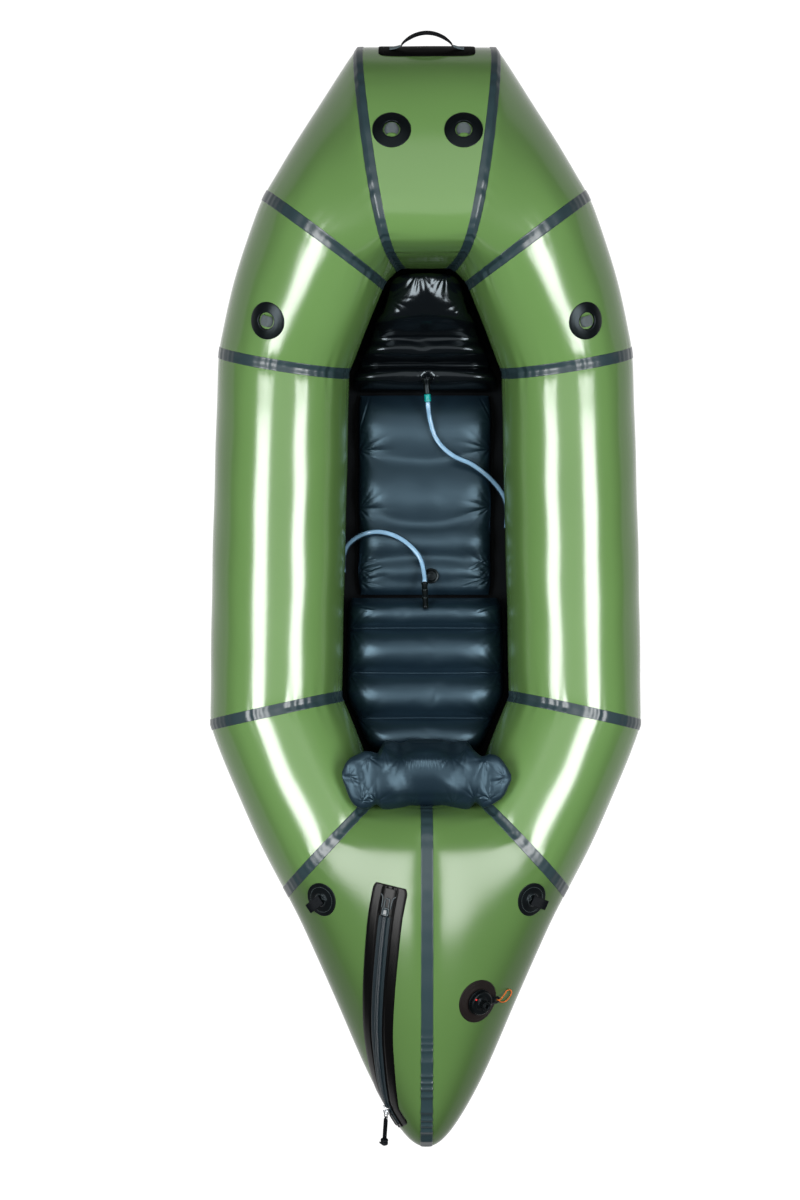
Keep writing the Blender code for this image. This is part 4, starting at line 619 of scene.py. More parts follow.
def coated_cloth(graph, given):
    """Cloth with a shiny coating: slow colour drift, a faint grain and a slow swell."""
    drift = graph.noise(3.1, 3.0)
    colour = graph.shaded(given["Colour"], graph.math("MULTIPLY_ADD", drift, 0.16, 0.92))
    grain = graph.math("MULTIPLY", graph.noise(900.0, 2.0), given["Grain"])
    height = graph.math("MULTIPLY_ADD", graph.noise(14.0, 3.0, 0.55), given["Swell"], grain)
    rough = graph.math("MULTIPLY_ADD", drift, 0.06,
                       graph.math("SUBTRACT", given["Roughness"], 0.03))
    return colour, rough, graph.bump(height, 1.0, 0.001)


def moulded(graph, given):
    """Moulded rubber or plastic: a fine matte grain and slight wear."""
    drift = graph.noise(60.0, 4.0)
    colour = graph.shaded(given["Colour"], graph.math("MULTIPLY_ADD", drift, 0.5, 0.75))
    rough = graph.math("MULTIPLY_ADD", drift, 0.12,
                       graph.math("SUBTRACT", given["Roughness"], 0.06))
    return colour, rough, graph.bump(graph.noise(2600.0, 1.0), given["Grain"], 0.0002)


def woven(graph, given):
    """Webbing or cord: a diagonal weave on the piece's own way map, in metres."""
    way = graph.add("ShaderNodeUVMap", uv_map="way").outputs[0]
    split = graph.add("ShaderNodeSeparateXYZ", {0: way})
    along, across = split.outputs[0], split.outputs[1]
    first = graph.math("MULTIPLY", graph.math("ADD", along, across), given["Pitch"])
    second = graph.math("MULTIPLY", graph.math("SUBTRACT", along, across), given["Pitch"])
    weave = graph.math("MULTIPLY", graph.math("SINE", first), graph.math("SINE", second))
    colour = graph.shaded(given["Colour"], graph.math("MULTIPLY_ADD", weave, 0.35, 0.9))
    return colour, given["Roughness"], graph.bump(weave, 0.8, 0.0003)


COATED = effect_group("coated cloth", {"Roughness": 0.3, "Grain": 0.02, "Swell": 0.5}, coated_cloth)
MOULDED = effect_group("moulded rubber", {"Roughness": 0.5, "Grain": 0.3}, moulded)
WOVEN = effect_group("woven cloth", {"Roughness": 0.7, "Pitch": 3000.0}, woven)


def surface(name, group, colour, roughness, inputs, shader=None, edges=None):
    """A material: a Principled shader fed by one of the effect groups.

    edges gives how much darker and how much duller the cloth is where it turns away from the
    eye: the darkening is painted shade, and the gloss is turned down there as well.
    """
    made = bpy.data.materials.new(name)
    made.use_nodes = True
    graph = Graph(made.node_tree)
    principled = made.node_tree.nodes["Principled BSDF"]
    effect = graph.add("ShaderNodeGroup", node_tree=group)
    for key, value in {"Colour": (*colour, 1.0), "Roughness": roughness, **inputs}.items():
        effect.inputs[key].default_value = value
    for source, target in (("Colour", "Base Color"), ("Roughness", "Roughness"),
                           ("Normal", "Normal")):
        made.node_tree.links.new(effect.outputs[source], principled.inputs[target])
    for key, value in (shader or {}).items():
        principled.inputs[key].default_value = value
    # painted shade: the colour darkens where the surface turns away from the eye, and its gloss is
    # turned down there
    if edges:
        facing = graph.add("ShaderNodeLayerWeight", {"Blend": 0.5}).outputs["Facing"]
        away = graph.add("ShaderNodeMapRange",
                         {"Value": facing, "From Min": EDGE_SHADE_FROM, "From Max": EDGE_SHADE_TO},
                         interpolation_type="SMOOTHSTEP").outputs[0]
        tone = graph.shaded(effect.outputs["Colour"],
                            graph.math("MULTIPLY_ADD", away, -edges[0], 1.0))
        made.node_tree.links.new(tone, principled.inputs["Base Color"])
        level = principled.inputs[LEVEL].default_value
        dull = graph.math("MULTIPLY_ADD", away, -edges[1] * level, level)
        made.node_tree.links.new(dull, principled.inputs[LEVEL])
    return made


# Each finish: the material's name, its effect, colour and roughness, the effect's other inputs,
# the shader's own inputs, and how much painted shade darkens it and how much duller its gloss is at
# its edges
FINISH_ROWS = {
    "hull": ("hull skin", COATED, GREEN, 0.19, {"Grain": 0.02, "Swell": 0.2}, {LEVEL: 1.0},
             (0.36, 0.60)),
    # the stern panels: painted shade in a darker green, and less gloss
    "stern": ("stern skin painted darker", COATED, STERN_SHADED_GREEN, 0.21, {"Grain": 0.02, "Swell": 0.0},
              {LEVEL: 0.42}, (0.36, 0.60)),
    "tape": ("seam tape", COATED, TAPE_GREY, 0.30, {"Grain": 0.05, "Swell": 0.5}, {LEVEL: 0.6},
             (0.30, 0.60)),
    "floor": ("floor cloth", COATED, (0.002, 0.003, 0.004), 0.45, {"Grain": 0.08, "Swell": 0.6},
              {LEVEL: 0.05}),
    "seat": ("cushion cloth", COATED, SEAT_BLUE, 0.34, {"Grain": 0.04, "Swell": 0.3},
             {LEVEL: 1.0, TINT: CUSHION_TINT}),
    "backrest": ("backrest cloth", COATED, SEAT_BLUE, 0.42, {"Grain": 0.04, "Swell": 0.3},
                 {LEVEL: 0.62, TINT: CUSHION_TINT}),
    "brace": ("brace cloth", COATED, (0.002, 0.003, 0.004), 0.17, {"Grain": 0.02, "Swell": 1.0},
              {TINT: (0.8, 0.93, 1.0, 1.0)}),
    "zip": ("zip cloth", COATED, (0.0018, 0.0018, 0.0020), 0.27, {"Grain": 0.06, "Swell": 0.25},
            {LEVEL: 0.14}),
    "ziptape": ("zip tape cloth", COATED, (0.0085, 0.017, 0.022), 0.42,
                {"Grain": 0.06, "Swell": 0.2}, {LEVEL: 0.25}),
    "rib": ("zip moulding", MOULDED, (0.020, 0.032, 0.038), 0.22, {"Grain": 0.05}),
    "teeth": ("zip teeth", MOULDED, (0.006, 0.013, 0.018), 0.3, {"Grain": 0.1}, {LEVEL: 0.5}),
    "rubber": ("moulded rubber", MOULDED, (0.0018, 0.0026, 0.0030), 0.30, {"Grain": 0.2},
               {LEVEL: 0.22, TINT: (0.75, 0.92, 1.0, 1.0)}),
    "flange": ("valve rubber", MOULDED, (0.0075, 0.0052, 0.0048), 0.45, {"Grain": 0.2},
               {LEVEL: 0.15}),
    "patch": ("patch rubber", MOULDED, (0.0015, 0.0015, 0.0015), 0.40, {"Grain": 0.1},
              {LEVEL: 0.08}, (0.3, 0.95)),
    "mark": ("red plastic", MOULDED, (0.65, 0.02, 0.02), 0.4, {"Grain": 0.05}),
    "teal": ("barb plastic", MOULDED, (0.0, 0.26, 0.25), 0.3, {"Grain": 0.05}),
    "metal": ("slider metal", MOULDED, (0.86, 0.88, 0.90), 0.24, {"Grain": 0.05},
              {"Metallic": 1.0}),
    "hose": ("clear hose", MOULDED, (0.26, 0.46, 0.66), 0.14, {"Grain": 0.0},
             {"Transmission Weight": 0.30, "IOR": 1.45, LEVEL: 1.0}, (0.85, 0.10)),
    "strap": ("grey strap", WOVEN, (0.075, 0.095, 0.100), 0.6, {"Pitch": 2600.0}, {LEVEL: 0.4}),
    "thread": ("grey thread", WOVEN, (0.060, 0.085, 0.090), 0.6, {"Pitch": 6000.0}),
    "anchor": ("grey webbing", WOVEN, (0.085, 0.120, 0.135), 0.6, {}, {LEVEL: 0.4}),
    "webbing": ("webbing", WOVEN, (0.0045, 0.0062, 0.0082), 0.6, {}, {LEVEL: 0.15},
                (0.3, 0.90)),
    "cord": ("orange cord", WOVEN, (0.75, 0.16, 0.01), 0.7, {"Pitch": 5000.0}),
}
FINISHES = {key: surface(*row) for key, row in FINISH_ROWS.items()}
CAD_FINISHES = {"hull_green": "hull", "tape_grey": "tape", "floor_black": "floor",
                "seat_cloth": "seat", "brace_black": "brace", "rubber_black": "rubber",
                "webbing_black": "webbing", "slider_metal": "metal", "barb_teal": "teal",
                "hose_clear": "hose", "cord_orange": "cord"}


# ---------------------------------------------------------------- camera, light, floor
def make_camera():
    """The photo's camera, straight above, a little to the left of the raft's middle line."""
    lens = bpy.data.cameras.new("camera")
    lens.lens, lens.sensor_width, lens.sensor_height = CAMERA_LENS, CAMERA_SENSOR, CAMERA_SENSOR
    lens.sensor_fit = "AUTO"
    made = new_object("camera", lens)
    made.location = CAMERA_PLACE
    bpy.context.scene.camera = made
    bpy.context.scene.view_settings.view_transform = "Standard"


# The light: two soft boxes over the tubes, a dim scrim overhead, the surround's strength at the
# horizon and from WORLD_RISE up, and the floor's paint, glow, half width and depth
BOX_SIZE, BOX_PLACE, BOX_TURN, BOX_POWER = (1.5, 2.45), (2.0, -0.26, 3.3), 18.0, 142.0
SCRIM_SIZE, SCRIM_PLACE, SCRIM_POWER = (2.3, 4.4), (0.0, 1.5, 3.6), 24.0
WORLD_LOW, WORLD_HIGH, WORLD_RISE = 0.09, 0.06, 0.55
FLOOR_TONES, FLOOR_GLOW = ((0.13, 0.13, 0.13), (0.15, 0.15, 0.15)), 0.93
FLOOR_REACH, FLOOR_DROP = 9.0, 0.0006


def make_world():
    """A pale surround, a little brighter near the horizon, and plain white to the camera."""
    world = bpy.data.worlds.new("studio")
    bpy.context.scene.world = world
    world.use_nodes = True
    graph = Graph(world.node_tree)
    way = graph.add("ShaderNodeTexCoord").outputs["Generated"]
    height = graph.add("ShaderNodeSeparateXYZ", {0: way}).outputs[2]
    ramp = graph.add("ShaderNodeMapRange",
                     {"Value": height, "From Min": 0.0, "From Max": WORLD_RISE,
                      "To Min": WORLD_LOW, "To Max": WORLD_HIGH})
    seen = graph.add("ShaderNodeLightPath").outputs["Is Camera Ray"]
    level = graph.math("MAXIMUM", ramp.outputs[0], seen)
    sky = world.node_tree.nodes["Background"]
    world.node_tree.links.new(level, sky.inputs["Strength"])
    sky.inputs["Color"].default_value = (1.0, 1.0, 1.0, 1.0)


def make_white_floor():
    """The white floor: dim paint to light the raft by, with a glow that the camera sees."""
    mesh = bpy.data.meshes.new("floor")
    corners = ((-1, -1), (1, -1), (1, 1), (-1, 1))
    mesh.from_pydata([(x * FLOOR_REACH, y * FLOOR_REACH, -FLOOR_DROP) for x, y in corners],
                     [], [(0, 1, 2, 3)])
    white = bpy.data.materials.new("floor white")
    white.use_nodes = True
    graph = Graph(white.node_tree)
    principled = white.node_tree.nodes["Principled BSDF"]
    tone = graph.mix(graph.noise(1.5, 2.0), *FLOOR_TONES)
    white.node_tree.links.new(tone, principled.inputs["Base Color"])
    principled.inputs["Roughness"].default_value = 0.9
    principled.inputs[LEVEL].default_value = 0.0
    path = graph.add("ShaderNodeLightPath")
    shown = graph.math("MAXIMUM", path.outputs["Is Camera Ray"], path.outputs["Is Glossy Ray"])
    shown = graph.math("MAXIMUM", shown, path.outputs["Is Transmission Ray"])
    principled.inputs["Emission Color"].default_value = (1.0, 1.0, 1.0, 1.0)
    white.node_tree.links.new(graph.math("MULTIPLY", shown, FLOOR_GLOW),
                              principled.inputs["Emission Strength"])
    mesh.materials.append(white)
    new_object("floor", mesh)


def make_lights():
    """Two long soft boxes parallel to the tubes, and a dim scrim overhead."""
    jobs = [("soft box left", -1.0, BOX_SIZE, BOX_PLACE, BOX_TURN, BOX_POWER),
            ("soft box right", 1.0, BOX_SIZE, BOX_PLACE, BOX_TURN, BOX_POWER),
            ("scrim", 1.0, SCRIM_SIZE, SCRIM_PLACE, 0.0, SCRIM_POWER)]
    for name, sign, size, place, turn, power in jobs:
        light = bpy.data.lights.new(name, "AREA")
        light.shape, light.size, light.size_y = "RECTANGLE", *size
        light.energy = power
        made = new_object(name, light)
        made.location = (sign * place[0], *place[1:])
        made.rotation_euler = (0.0, sign * math.radians(turn), 0.0)
        made.visible_camera = False


make_camera()


# ---------------------------------------------------------------- hoses and the cord loop
HOSE_DIAMETER, HOSE_STATIONS = 0.0125, 90
HOSE_ROUTES = {
    "foot_brace_hose": ((0.006, 0.434, 0.082), (0.007, 0.420, 0.079), (0.011, 0.395, 0.070),
                        (0.022, 0.360, 0.062), (0.040, 0.335, 0.0605), (0.066, 0.315, 0.0605),
                        (0.100, 0.300, 0.0605), (0.128, 0.281, 0.057), (0.150, 0.262, 0.047),
                        (0.168, 0.241, 0.036), (0.180, 0.218, 0.024), (0.184, 0.190, 0.012),
                        (0.182, 0.160, 0.0083)),
    "seat_hose": ((-0.001, 0.038, 0.0785), (-0.0015, 0.052, 0.0735), (-0.008, 0.085, 0.065),
                  (-0.022, 0.108, 0.0610), (-0.042, 0.127, 0.0605), (-0.068, 0.142, 0.0605),
                  (-0.100, 0.150, 0.0605), (-0.128, 0.147, 0.057), (-0.150, 0.138, 0.047),
                  (-0.168, 0.124, 0.036), (-0.178, 0.106, 0.022), (-0.182, 0.085, 0.011),
                  (-0.181, 0.060, 0.0083)),
}


def make_hoses():
    """The two oral inflation hoses: clear tubes that lie from their barbs to the floor."""
    for name, route in HOSE_ROUTES.items():
        line = smooth_route(route, HOSE_STATIONS)
        made = sweep(f"{name}_tube", line, ring_section(HOSE_DIAMETER / 2, 28), "hose", node=name)


VALVE_SPOT = (STERN, "right", 0.575, math.radians(50.0))
TETHER_LEVEL, TETHER_WALL, TETHER_EYE, TETHER_HOLE = 0.0058, 0.0014, 0.042, 0.0031
CORD_WIRE = 0.0026
CORD_ROUTE = ((0.060, 0.008, 0.0075), (0.072, 0.013, 0.0025), (0.085, 0.010, 0.0012),
              (0.090, 0.001, 0.001), (0.083, -0.009, 0.001), (0.070, -0.013, 0.001),
              (0.057, -0.009, 0.0025))


def make_cord_loop():
    """The orange cord that runs through the tether's eye and lies in a loop on the hull."""
    spot = Spot(*VALVE_SPOT)
    wire, eye, level = CORD_WIRE / 2, TETHER_EYE, TETHER_LEVEL
    beyond = eye + TETHER_HOLE + wire
    knots = [spot.place(eye, 0.0, level + TETHER_WALL / 2),
             spot.place(beyond, wire, level + TETHER_WALL + wire + FIT + wire)]
    for right, forward, lift in CORD_ROUTE:
        point, normal = spot.drape(np.array(right), np.array(forward))
        knots.append(point + normal * (lift + wire))
    knots += [spot.place(beyond, -wire, level - wire - FIT - wire),
              spot.place(eye, 0.0, level + TETHER_WALL / 2 - wire)]
    line = smooth_route(knots, HOSE_STATIONS)[:-2]
    made = sweep("valve_cord", line, ring_section(wire, 14), "cord", node="valve_cord_loop")


make_hoses()
make_cord_loop()
make_world()
make_white_floor()
make_lights()


# ---------------------------------------------------------------- hull, tapes, floor
PANEL_AROUND, TAPE_STATIONS, TAIL_STATIONS = 160, 300, 1400
# How near a seam the surface is asked for, as a share of the panel
NEAR_SEAM = 1e-4
FLOOR_LOWEST = 0.0002
# The tapes' ripple, and the tail tape's gathers: their depth and length, how far back they
# begin and over what distance they grow
TAPE_RIPPLE = 0.00025
GATHER_DEPTH, GATHER_LENGTH, GATHER_FROM, GATHER_RAMP = 0.0024, 0.040, 0.84, 0.10
PANEL_ALONG = {"bow": 64, 0: 72, 1: 72, 2: 110, 3: 80, 4: 120}


def eased(count):
    """Shares from nought to one, closer together at both ends."""
    share = np.linspace(0.0, 1.0, count)
    return 0.35 * share + 0.65 * (1 - np.cos(math.pi * share)) / 2


def make_panels():
    """The inflated panels as fine grids of the cloth's own surface."""
    angle = angles(PANEL_AROUND)[None, :]
    jobs = [("bow", "right", "bow_centre_panel")]
    jobs += [(number, side, f"{name}_panel_{side}") for number, name in enumerate(PANEL_NAMES)
             for side in ("left", "right")]
    for panel, side, node in jobs:
        along = eased(PANEL_ALONG[panel])[:, None]
        inside = np.clip(along, NEAR_SEAM, 1 - NEAR_SEAM)
        points = skin_point(panel, side, inside, angle)
        normals = hull_normal(panel, side, inside, angle)
        # the stern panels take the darker green of painted shade
        finish = "stern" if panel == STERN else "hull"
        grid_piece(f"skin_{node}", points, finish, "sleeve", normals=normals, node=node)


def tape_edge(panel, side, at_end, angle, offset):
    """Points and normals at a distance from a seam, along the cloth of one panel."""
    end = 1.0 if at_end else 0.0
    by_along, _ = hull_slopes(panel, side, end, angle)
    step = np.clip(offset / np.linalg.norm(by_along, axis=-1), NEAR_SEAM, 0.5)
    along = end - step if at_end else end + step
    return skin_point(panel, side, along, angle), hull_normal(panel, side, along, angle)


def make_tapes():
    """The tapes over the seams: a soft-edged band pressed on the cloth of both panels.

    Each ripples a little; towards the stern's tip the tail's tape is gathered into sharp crests.
    """
    start = -math.pi / 2 + WRAP_SHARE * 2 * math.pi
    last = start + 2 * math.pi * (1 - 2 * WRAP_SHARE) + 0.20
    joints = []
    for side in ("left", "right"):
        joints.append((f"bow_seam_tape_{side}", ("bow", "right", side == "left"), (0, side, False)))
        for number, seam in enumerate(SEAMS[1:-1]):
            joints.append((f"{seam}_seam_tape_{side}", (number, side, True),
                           (number + 1, side, False)))
    joints.append(("tail_seam_tape", (STERN, "left", True), (STERN, "right", True)))
    half = TAPE_WIDTH / 2
    section = ((half, -0.0008), (half, 0.25 * TAPE_WALL), (half - 0.0004, 0.8 * TAPE_WALL),
               (half - 0.0010, TAPE_WALL), (half * 0.66, TAPE_WALL), (half * 0.33, TAPE_WALL),
               (half * 0.08, TAPE_WALL))
    for name, first, second in joints:
        tail = name == "tail_seam_tape"
        around = np.linspace(start + 0.01, last, TAIL_STATIONS if tail else TAPE_STATIONS)
        rows = []
        for place, order in ((first, section), (second, section[::-1])):
            for offset, height in order:
                points, normals = tape_edge(*place, around, offset)
                wave = TAPE_RIPPLE * np.sin(around * 41 + 2 * np.sin(around * 9))
                if tail:
                    back = -points[:, 1]
                    gather = np.clip((back - GATHER_FROM) / GATHER_RAMP, 0, 1)
                    beat = np.sin(back * 2 * math.pi / GATHER_LENGTH + 1.2 * np.sin(back * 70))
                    wave = wave + GATHER_DEPTH * gather * (1 - np.abs(beat)) ** 1.2
                lift = TAPE_LIFT + height + np.where(height > 0, wave, 0.0)
                rows.append(points + normals * lift[:, None])
        points = np.array(rows)
        middle = points[len(section) - 1:len(section) + 1].mean(axis=0)
        normals = np.broadcast_to(middle - middle.mean(axis=0), points.shape)
        grid_piece(f"bonded_{name}", points, "tape", "sheet", normals=normals, node=name)


def make_floor():
    """The floor cloth: under both tubes, wrapped a little up their outer sides."""
    up = np.linspace(WRAP_SHARE * 2 * math.pi, 0.0, 9)
    shares = np.clip(np.linspace(1.0, 0.0, 22), NEAR_SEAM, 1 - NEAR_SEAM)
    stations = [(panel, share) for panel in (4, 3, 2, 1, 0) for share in shares]
    angle = -math.pi / 2 + up
    rows = []
    for panel, share in stations:
        points = hull_point(panel, "right", share, angle)
        normals = hull_normal(panel, "right", share, angle)
        points = points + normals * (FIT + FLOOR_WALL * 0.6) * np.clip(up, 0.25, 1)[:, None]
        across = np.linspace(1.0, -1.0, 11)[1:-1]
        low = points[-1]
        flat = np.outer(across, (low[0], 0.0, 0.0)) + (0.0, low[1], low[2])
        left = points[::-1] * np.array((-1.0, 1.0, 1.0))
        rows.append(np.vstack((points, flat, left)))
    rows = np.array(rows)
    rows[..., 2] = np.maximum(rows[..., 2] - FIT, FLOOR_LOWEST)
    down = np.broadcast_to((0.0, 0.0, -1.0), rows.shape)
    sheet = grid_piece("floor_cloth", rows, "floor", "sheet", normals=down, node="floor_sheet")
    wall = sheet.modifiers.new("wall", "SOLIDIFY")
    wall.thickness, wall.offset = FLOOR_WALL * 0.8, -1.0
    wall.use_even_offset = False


make_panels()
make_tapes()
make_floor()


# ---------------------------------------------------------------- cushions
# A channelled cushion: its room, its heights, how full and how soft it is, and its cross welds
# and creases. A weld has a place at the middle and one at the sides.
MAT = dict(front=0.455, rear=0.010, half=0.154, crown=0.052, weld=0.035,
           power=1.5, groove=0.0, soft=16,
           welds=((0.0, 0.0), (0.062, 0.076), (0.190, 0.136), (0.348, 0.437), (0.664, 0.724),
                  (1.0, 1.0)),
           creases=((-0.1208, 0.450, -0.1428, 0.374), (0.1212, 0.450, 0.1580, 0.378),
                    (-0.140, 0.060, -0.095, 0.074), (0.140, 0.088, 0.100, 0.068),
                    (-0.150, 0.083, -0.110, 0.090), (0.150, 0.052, 0.085, 0.030)))
SEAT = dict(front=0.006, rear=-0.338, half=0.177, crown=0.094, weld=0.064,
            power=0.6, groove=0.0022, soft=1,
            welds=((0.0, 0.0), (0.230, 0.222), (0.515, 0.520), (0.805, 0.800), (1.0, 1.0)),
            creases=((-0.150, -0.012, -0.110, -0.020), (0.150, -0.014, 0.115, -0.026)))
BRACE_REAR, BRACE_FRONT = 0.461, 0.690
BRACE_PROFILE = ((0.0, 0.035), (0.02, 0.062), (0.07, 0.092), (0.12, 0.100), (0.17, 0.092),
                 (0.23, 0.066), (0.28, 0.099), (0.32, 0.125), (0.37, 0.132), (0.42, 0.125),
                 (0.46, 0.119), (0.54, 0.152), (0.60, 0.184), (0.66, 0.209), (0.70, 0.219),
                 (0.76, 0.2260), (0.84, 0.2320), (0.92, 0.2375), (0.975, 0.2390), (1.0, 0.222))
BRACE_WELD_SHARES = (0.245, 0.475)
BRACE_TOP, BRACE_CROWN, BRACE_SPREAD, BRACE_VALVE = 0.242, 0.30, 0.0085, (0.006, 0.487)
BRACE_PINCHES = ((-0.015, 0.695, -1.57, 0.0026), (0.042, 0.692, -1.57, 0.0022),
                 (-0.080, 0.640, 0.2, 0.0016), (0.086, 0.638, 2.9, 0.0016))
# The cushions: their clearance, how far a fold may pass their room, how much smaller they are
# cut, how far up they lie on what is under them, and how far an end is rounded
SIDE_CLEARANCE, ROOM_SPARE, CUT_INSET, CONTACT, END_REACH = 0.003, 0.001, 0.003, 0.002, 0.026
CLOTH_MASS, CLOTH_STRETCH, CLOTH_SHEAR, CLOTH_PRESSURE, CLOTH_FRAMES = 0.15, 12.0, 4.0, 4.0, 20
BACK = dict(half=0.175, bottom=0.128, top=0.338, end=0.036,
            room=((-0.178, 0.178), (-0.439, -0.2975), (0.124, 0.343)))
BACK_PINCHES = ((-0.0864, -0.306, -1.57, 0.0040), (0.0780, -0.308, -1.57, 0.0040),
                (-0.0530, -0.322, -1.57, 0.0030), (0.0500, -0.322, -1.57, 0.0030),
                (-0.1023, -0.414, 1.57, 0.0042), (0.0986, -0.408, 1.57, 0.0042),
                (0.0540, -0.424, 1.4, 0.0028), (-0.0300, -0.426, 1.57, 0.0020),
                (-0.1600, -0.360, 0.0, 0.0022), (0.1600, -0.362, 3.14, 0.0022),
                (-0.1190, -0.322, -1.0, 0.0034), (0.1180, -0.326, -2.1, 0.0034),
                (-0.1320, -0.412, 1.2, 0.0034), (0.1300, -0.408, 2.0, 0.0034))
BACK_CREASES = ((-0.060, -0.318, 0.058, -0.318), (-0.172, -0.362, -0.128, -0.372),
                (0.172, -0.366, 0.130, -0.374))
BACK_FOLDS = ((-0.135, -0.330, -0.118, -0.402), (0.128, -0.332, 0.120, -0.398),
              (-0.095, -0.405, 0.090, -0.405))
BACK_EDGE_FRONT = ((-0.1750, -0.345), (-0.1680, -0.327), (-0.1434, -0.3178), (-0.1291, -0.3098),
                   (-0.1087, -0.3114), (-0.0992, -0.3193), (-0.0864, -0.2980), (-0.0769, -0.3019),
                   (-0.0612, -0.3145), (-0.0517, -0.3160), (-0.0300, -0.3060), (0.0, -0.3000),
                   (0.0300, -0.3060), (0.0500, -0.3150), (0.0654, -0.3114), (0.0780, -0.3002),
                   (0.0875, -0.3019), (0.1127, -0.3209), (0.1286, -0.3162), (0.1445, -0.3178),
                   (0.1554, -0.3272), (0.1750, -0.352))
BACK_EDGE_REAR = ((-0.1750, -0.372), (-0.1655, -0.400), (-0.1560, -0.419), (-0.1370, -0.4316),
                  (-0.1150, -0.4300), (-0.1023, -0.4200), (-0.0944, -0.4347), (-0.0769, -0.4390),
                  (-0.0517, -0.4390), (-0.0263, -0.4330), (0.0369, -0.4330), (0.0559, -0.4370),
                  (0.0811, -0.4390), (0.0939, -0.4316), (0.0986, -0.4150), (0.1160, -0.4316),
                  (0.1317, -0.4252), (0.1602, -0.4062), (0.1750, -0.376))


def hull_line(angle, axis):
    """Stations of the right side from the tail to the bow: y against x or z at one angle."""
    points = np.vstack([hull_point(panel, "right", np.linspace(1.0, 0.0, 9), angle)
                        for panel in (4, 3, 2, 1, 0)])
    order = np.argsort(points[:, 1], kind="stable")
    return points[order, 1], points[order, axis]


COCKPIT_Y, COCKPIT_X = hull_line(math.pi, 0)
KEEL_Y, KEEL_Z = hull_line(-math.pi / 2, 2)


def cockpit_half_width(y):
    """Half the room between the tubes at a station, less a clearance."""
    return np.interp(y, COCKPIT_Y, COCKPIT_X) - SIDE_CLEARANCE


def floor_top(y):
    """The height of the floor's top at a station."""
    return np.interp(y, KEEL_Y, KEEL_Z) - FIT


def pillow_loop(y, half_width, low, high, rim, count, side=0.42, top=0.72):
    """A section across the boat: a superellipse, flat under, crowned over, from its rim."""
    cos, sin = circle(720)
    x = half_width * signed_power(cos, side)
    reach = np.where(sin > 0, high - rim, rim - low)
    z = rim + reach * signed_power(sin, np.where(sin > 0, top, 0.5))
    return spread(np.stack((x, np.full(720, y), z), axis=1), count, closed=True)


def inflate(name, points, pinned, growth, cap, bending):
    """Blow up a closed grid of cloth and return its points, none moved further than the cap.

    Blender's cloth with air pressure and no gravity: the cloth is cut a little too big, so it
    buckles where the pinned welds hold it. The modifier is read off and removed.
    """
    rows, columns = points.shape[:2]
    faces = grid_faces(rows, columns, wrap_columns=True).tolist()
    faces += [list(range(columns))[::-1], list(range((rows - 1) * columns, rows * columns))]
    flat = points.reshape(-1, 3)
    mesh = bpy.data.meshes.new(name)
    mesh.from_pydata(flat.tolist(), [], outwards(flat, faces))
    body = new_object(name, mesh)
    group = body.vertex_groups.new(name="pinned")
    group.add(np.flatnonzero(pinned.ravel()).tolist(), 1.0, "REPLACE")
    cloth = body.modifiers.new("cloth", "CLOTH")
    settings = cloth.settings
    settings.quality = 5
    settings.mass = CLOTH_MASS
    settings.tension_stiffness = settings.compression_stiffness = CLOTH_STRETCH
    settings.shear_stiffness = CLOTH_SHEAR
    settings.bending_stiffness = bending
    settings.use_pressure = True
    settings.uniform_pressure_force = CLOTH_PRESSURE
    settings.shrink_min = settings.shrink_max = -growth
    settings.vertex_group_mass = "pinned"
    settings.effector_weights.gravity = 0.0
    cloth.collision_settings.use_collision = False
    cloth.point_cache.frame_start, cloth.point_cache.frame_end = 1, CLOTH_FRAMES
    scene = bpy.context.scene
    for frame_number in range(1, CLOTH_FRAMES + 1):
        scene.frame_set(frame_number)
    evaluated = body.evaluated_get(bpy.context.evaluated_depsgraph_get())
    moved = np.zeros(len(flat) * 3)
    evaluated.data.vertices.foreach_get("co", moved)
    step = moved.reshape(-1, 3) - flat
    length = np.linalg.norm(step, axis=1, keepdims=True)
    step = step * np.minimum(1.0, cap / np.maximum(length, 1e-9))
    bpy.data.objects.remove(body, do_unlink=True)
    bpy.data.meshes.remove(mesh)
    scene.frame_set(1)
    return (flat + step).reshape(points.shape)


def relaxed(points, rounds, keep):
    """Smooth a grid of points a little along and around, except where it is to be kept."""
    for _ in range(rounds):
        around = (np.roll(points, 1, axis=1) + np.roll(points, -1, axis=1)) / 2
        along = points.copy()
        along[1:-1] = (points[2:] + points[:-2]) / 2
        smooth = (around + along) / 2
        points = np.where(keep[..., None], points, 0.5 * points + 0.5 * smooth)
    return points


def fit_inside(points, y_range, half_width_at, top):
    """Hold a cushion's points inside the room that the part gives it."""
    x, y, z = points[..., 0], points[..., 1], points[..., 2]
    limit = half_width_at(y) + ROOM_SPARE
    x = np.sign(x) * np.minimum(np.abs(x), limit)
    y = np.clip(y, *y_range)
    z = np.clip(z, floor_top(y) + FIT, top)
    return np.stack((x, y, z), axis=-1)


def resample(points, count, closed):
    """Rows of a grid spread evenly along Catmull-Rom curves through the old rows."""
    old = len(points)
    place = np.linspace(0, old if closed else old - 1, count, endpoint=not closed)
    base = np.minimum(place.astype(int), old - 1 if closed else old - 2)
    part = (place - base)[:, None, None]
    steps = [base + step for step in (-1, 0, 1, 2)]
    return curve_part(*[points[step % old if closed else np.clip(step, 0, old - 1)]
                        for step in steps], part)


def refined(points, rows=300, columns=300):
    """A cushion's grid made finer both ways, for its gathers."""
    fine = resample(points, rows, False)
    return resample(fine.transpose(1, 0, 2), columns, True).transpose(1, 0, 2)


def soft_piece(name, points, finish, node, body="raft"):
    """The finished cushion, as one grid piece."""
    made = grid_piece(name, points, finish, node=node, body=body)
    return made


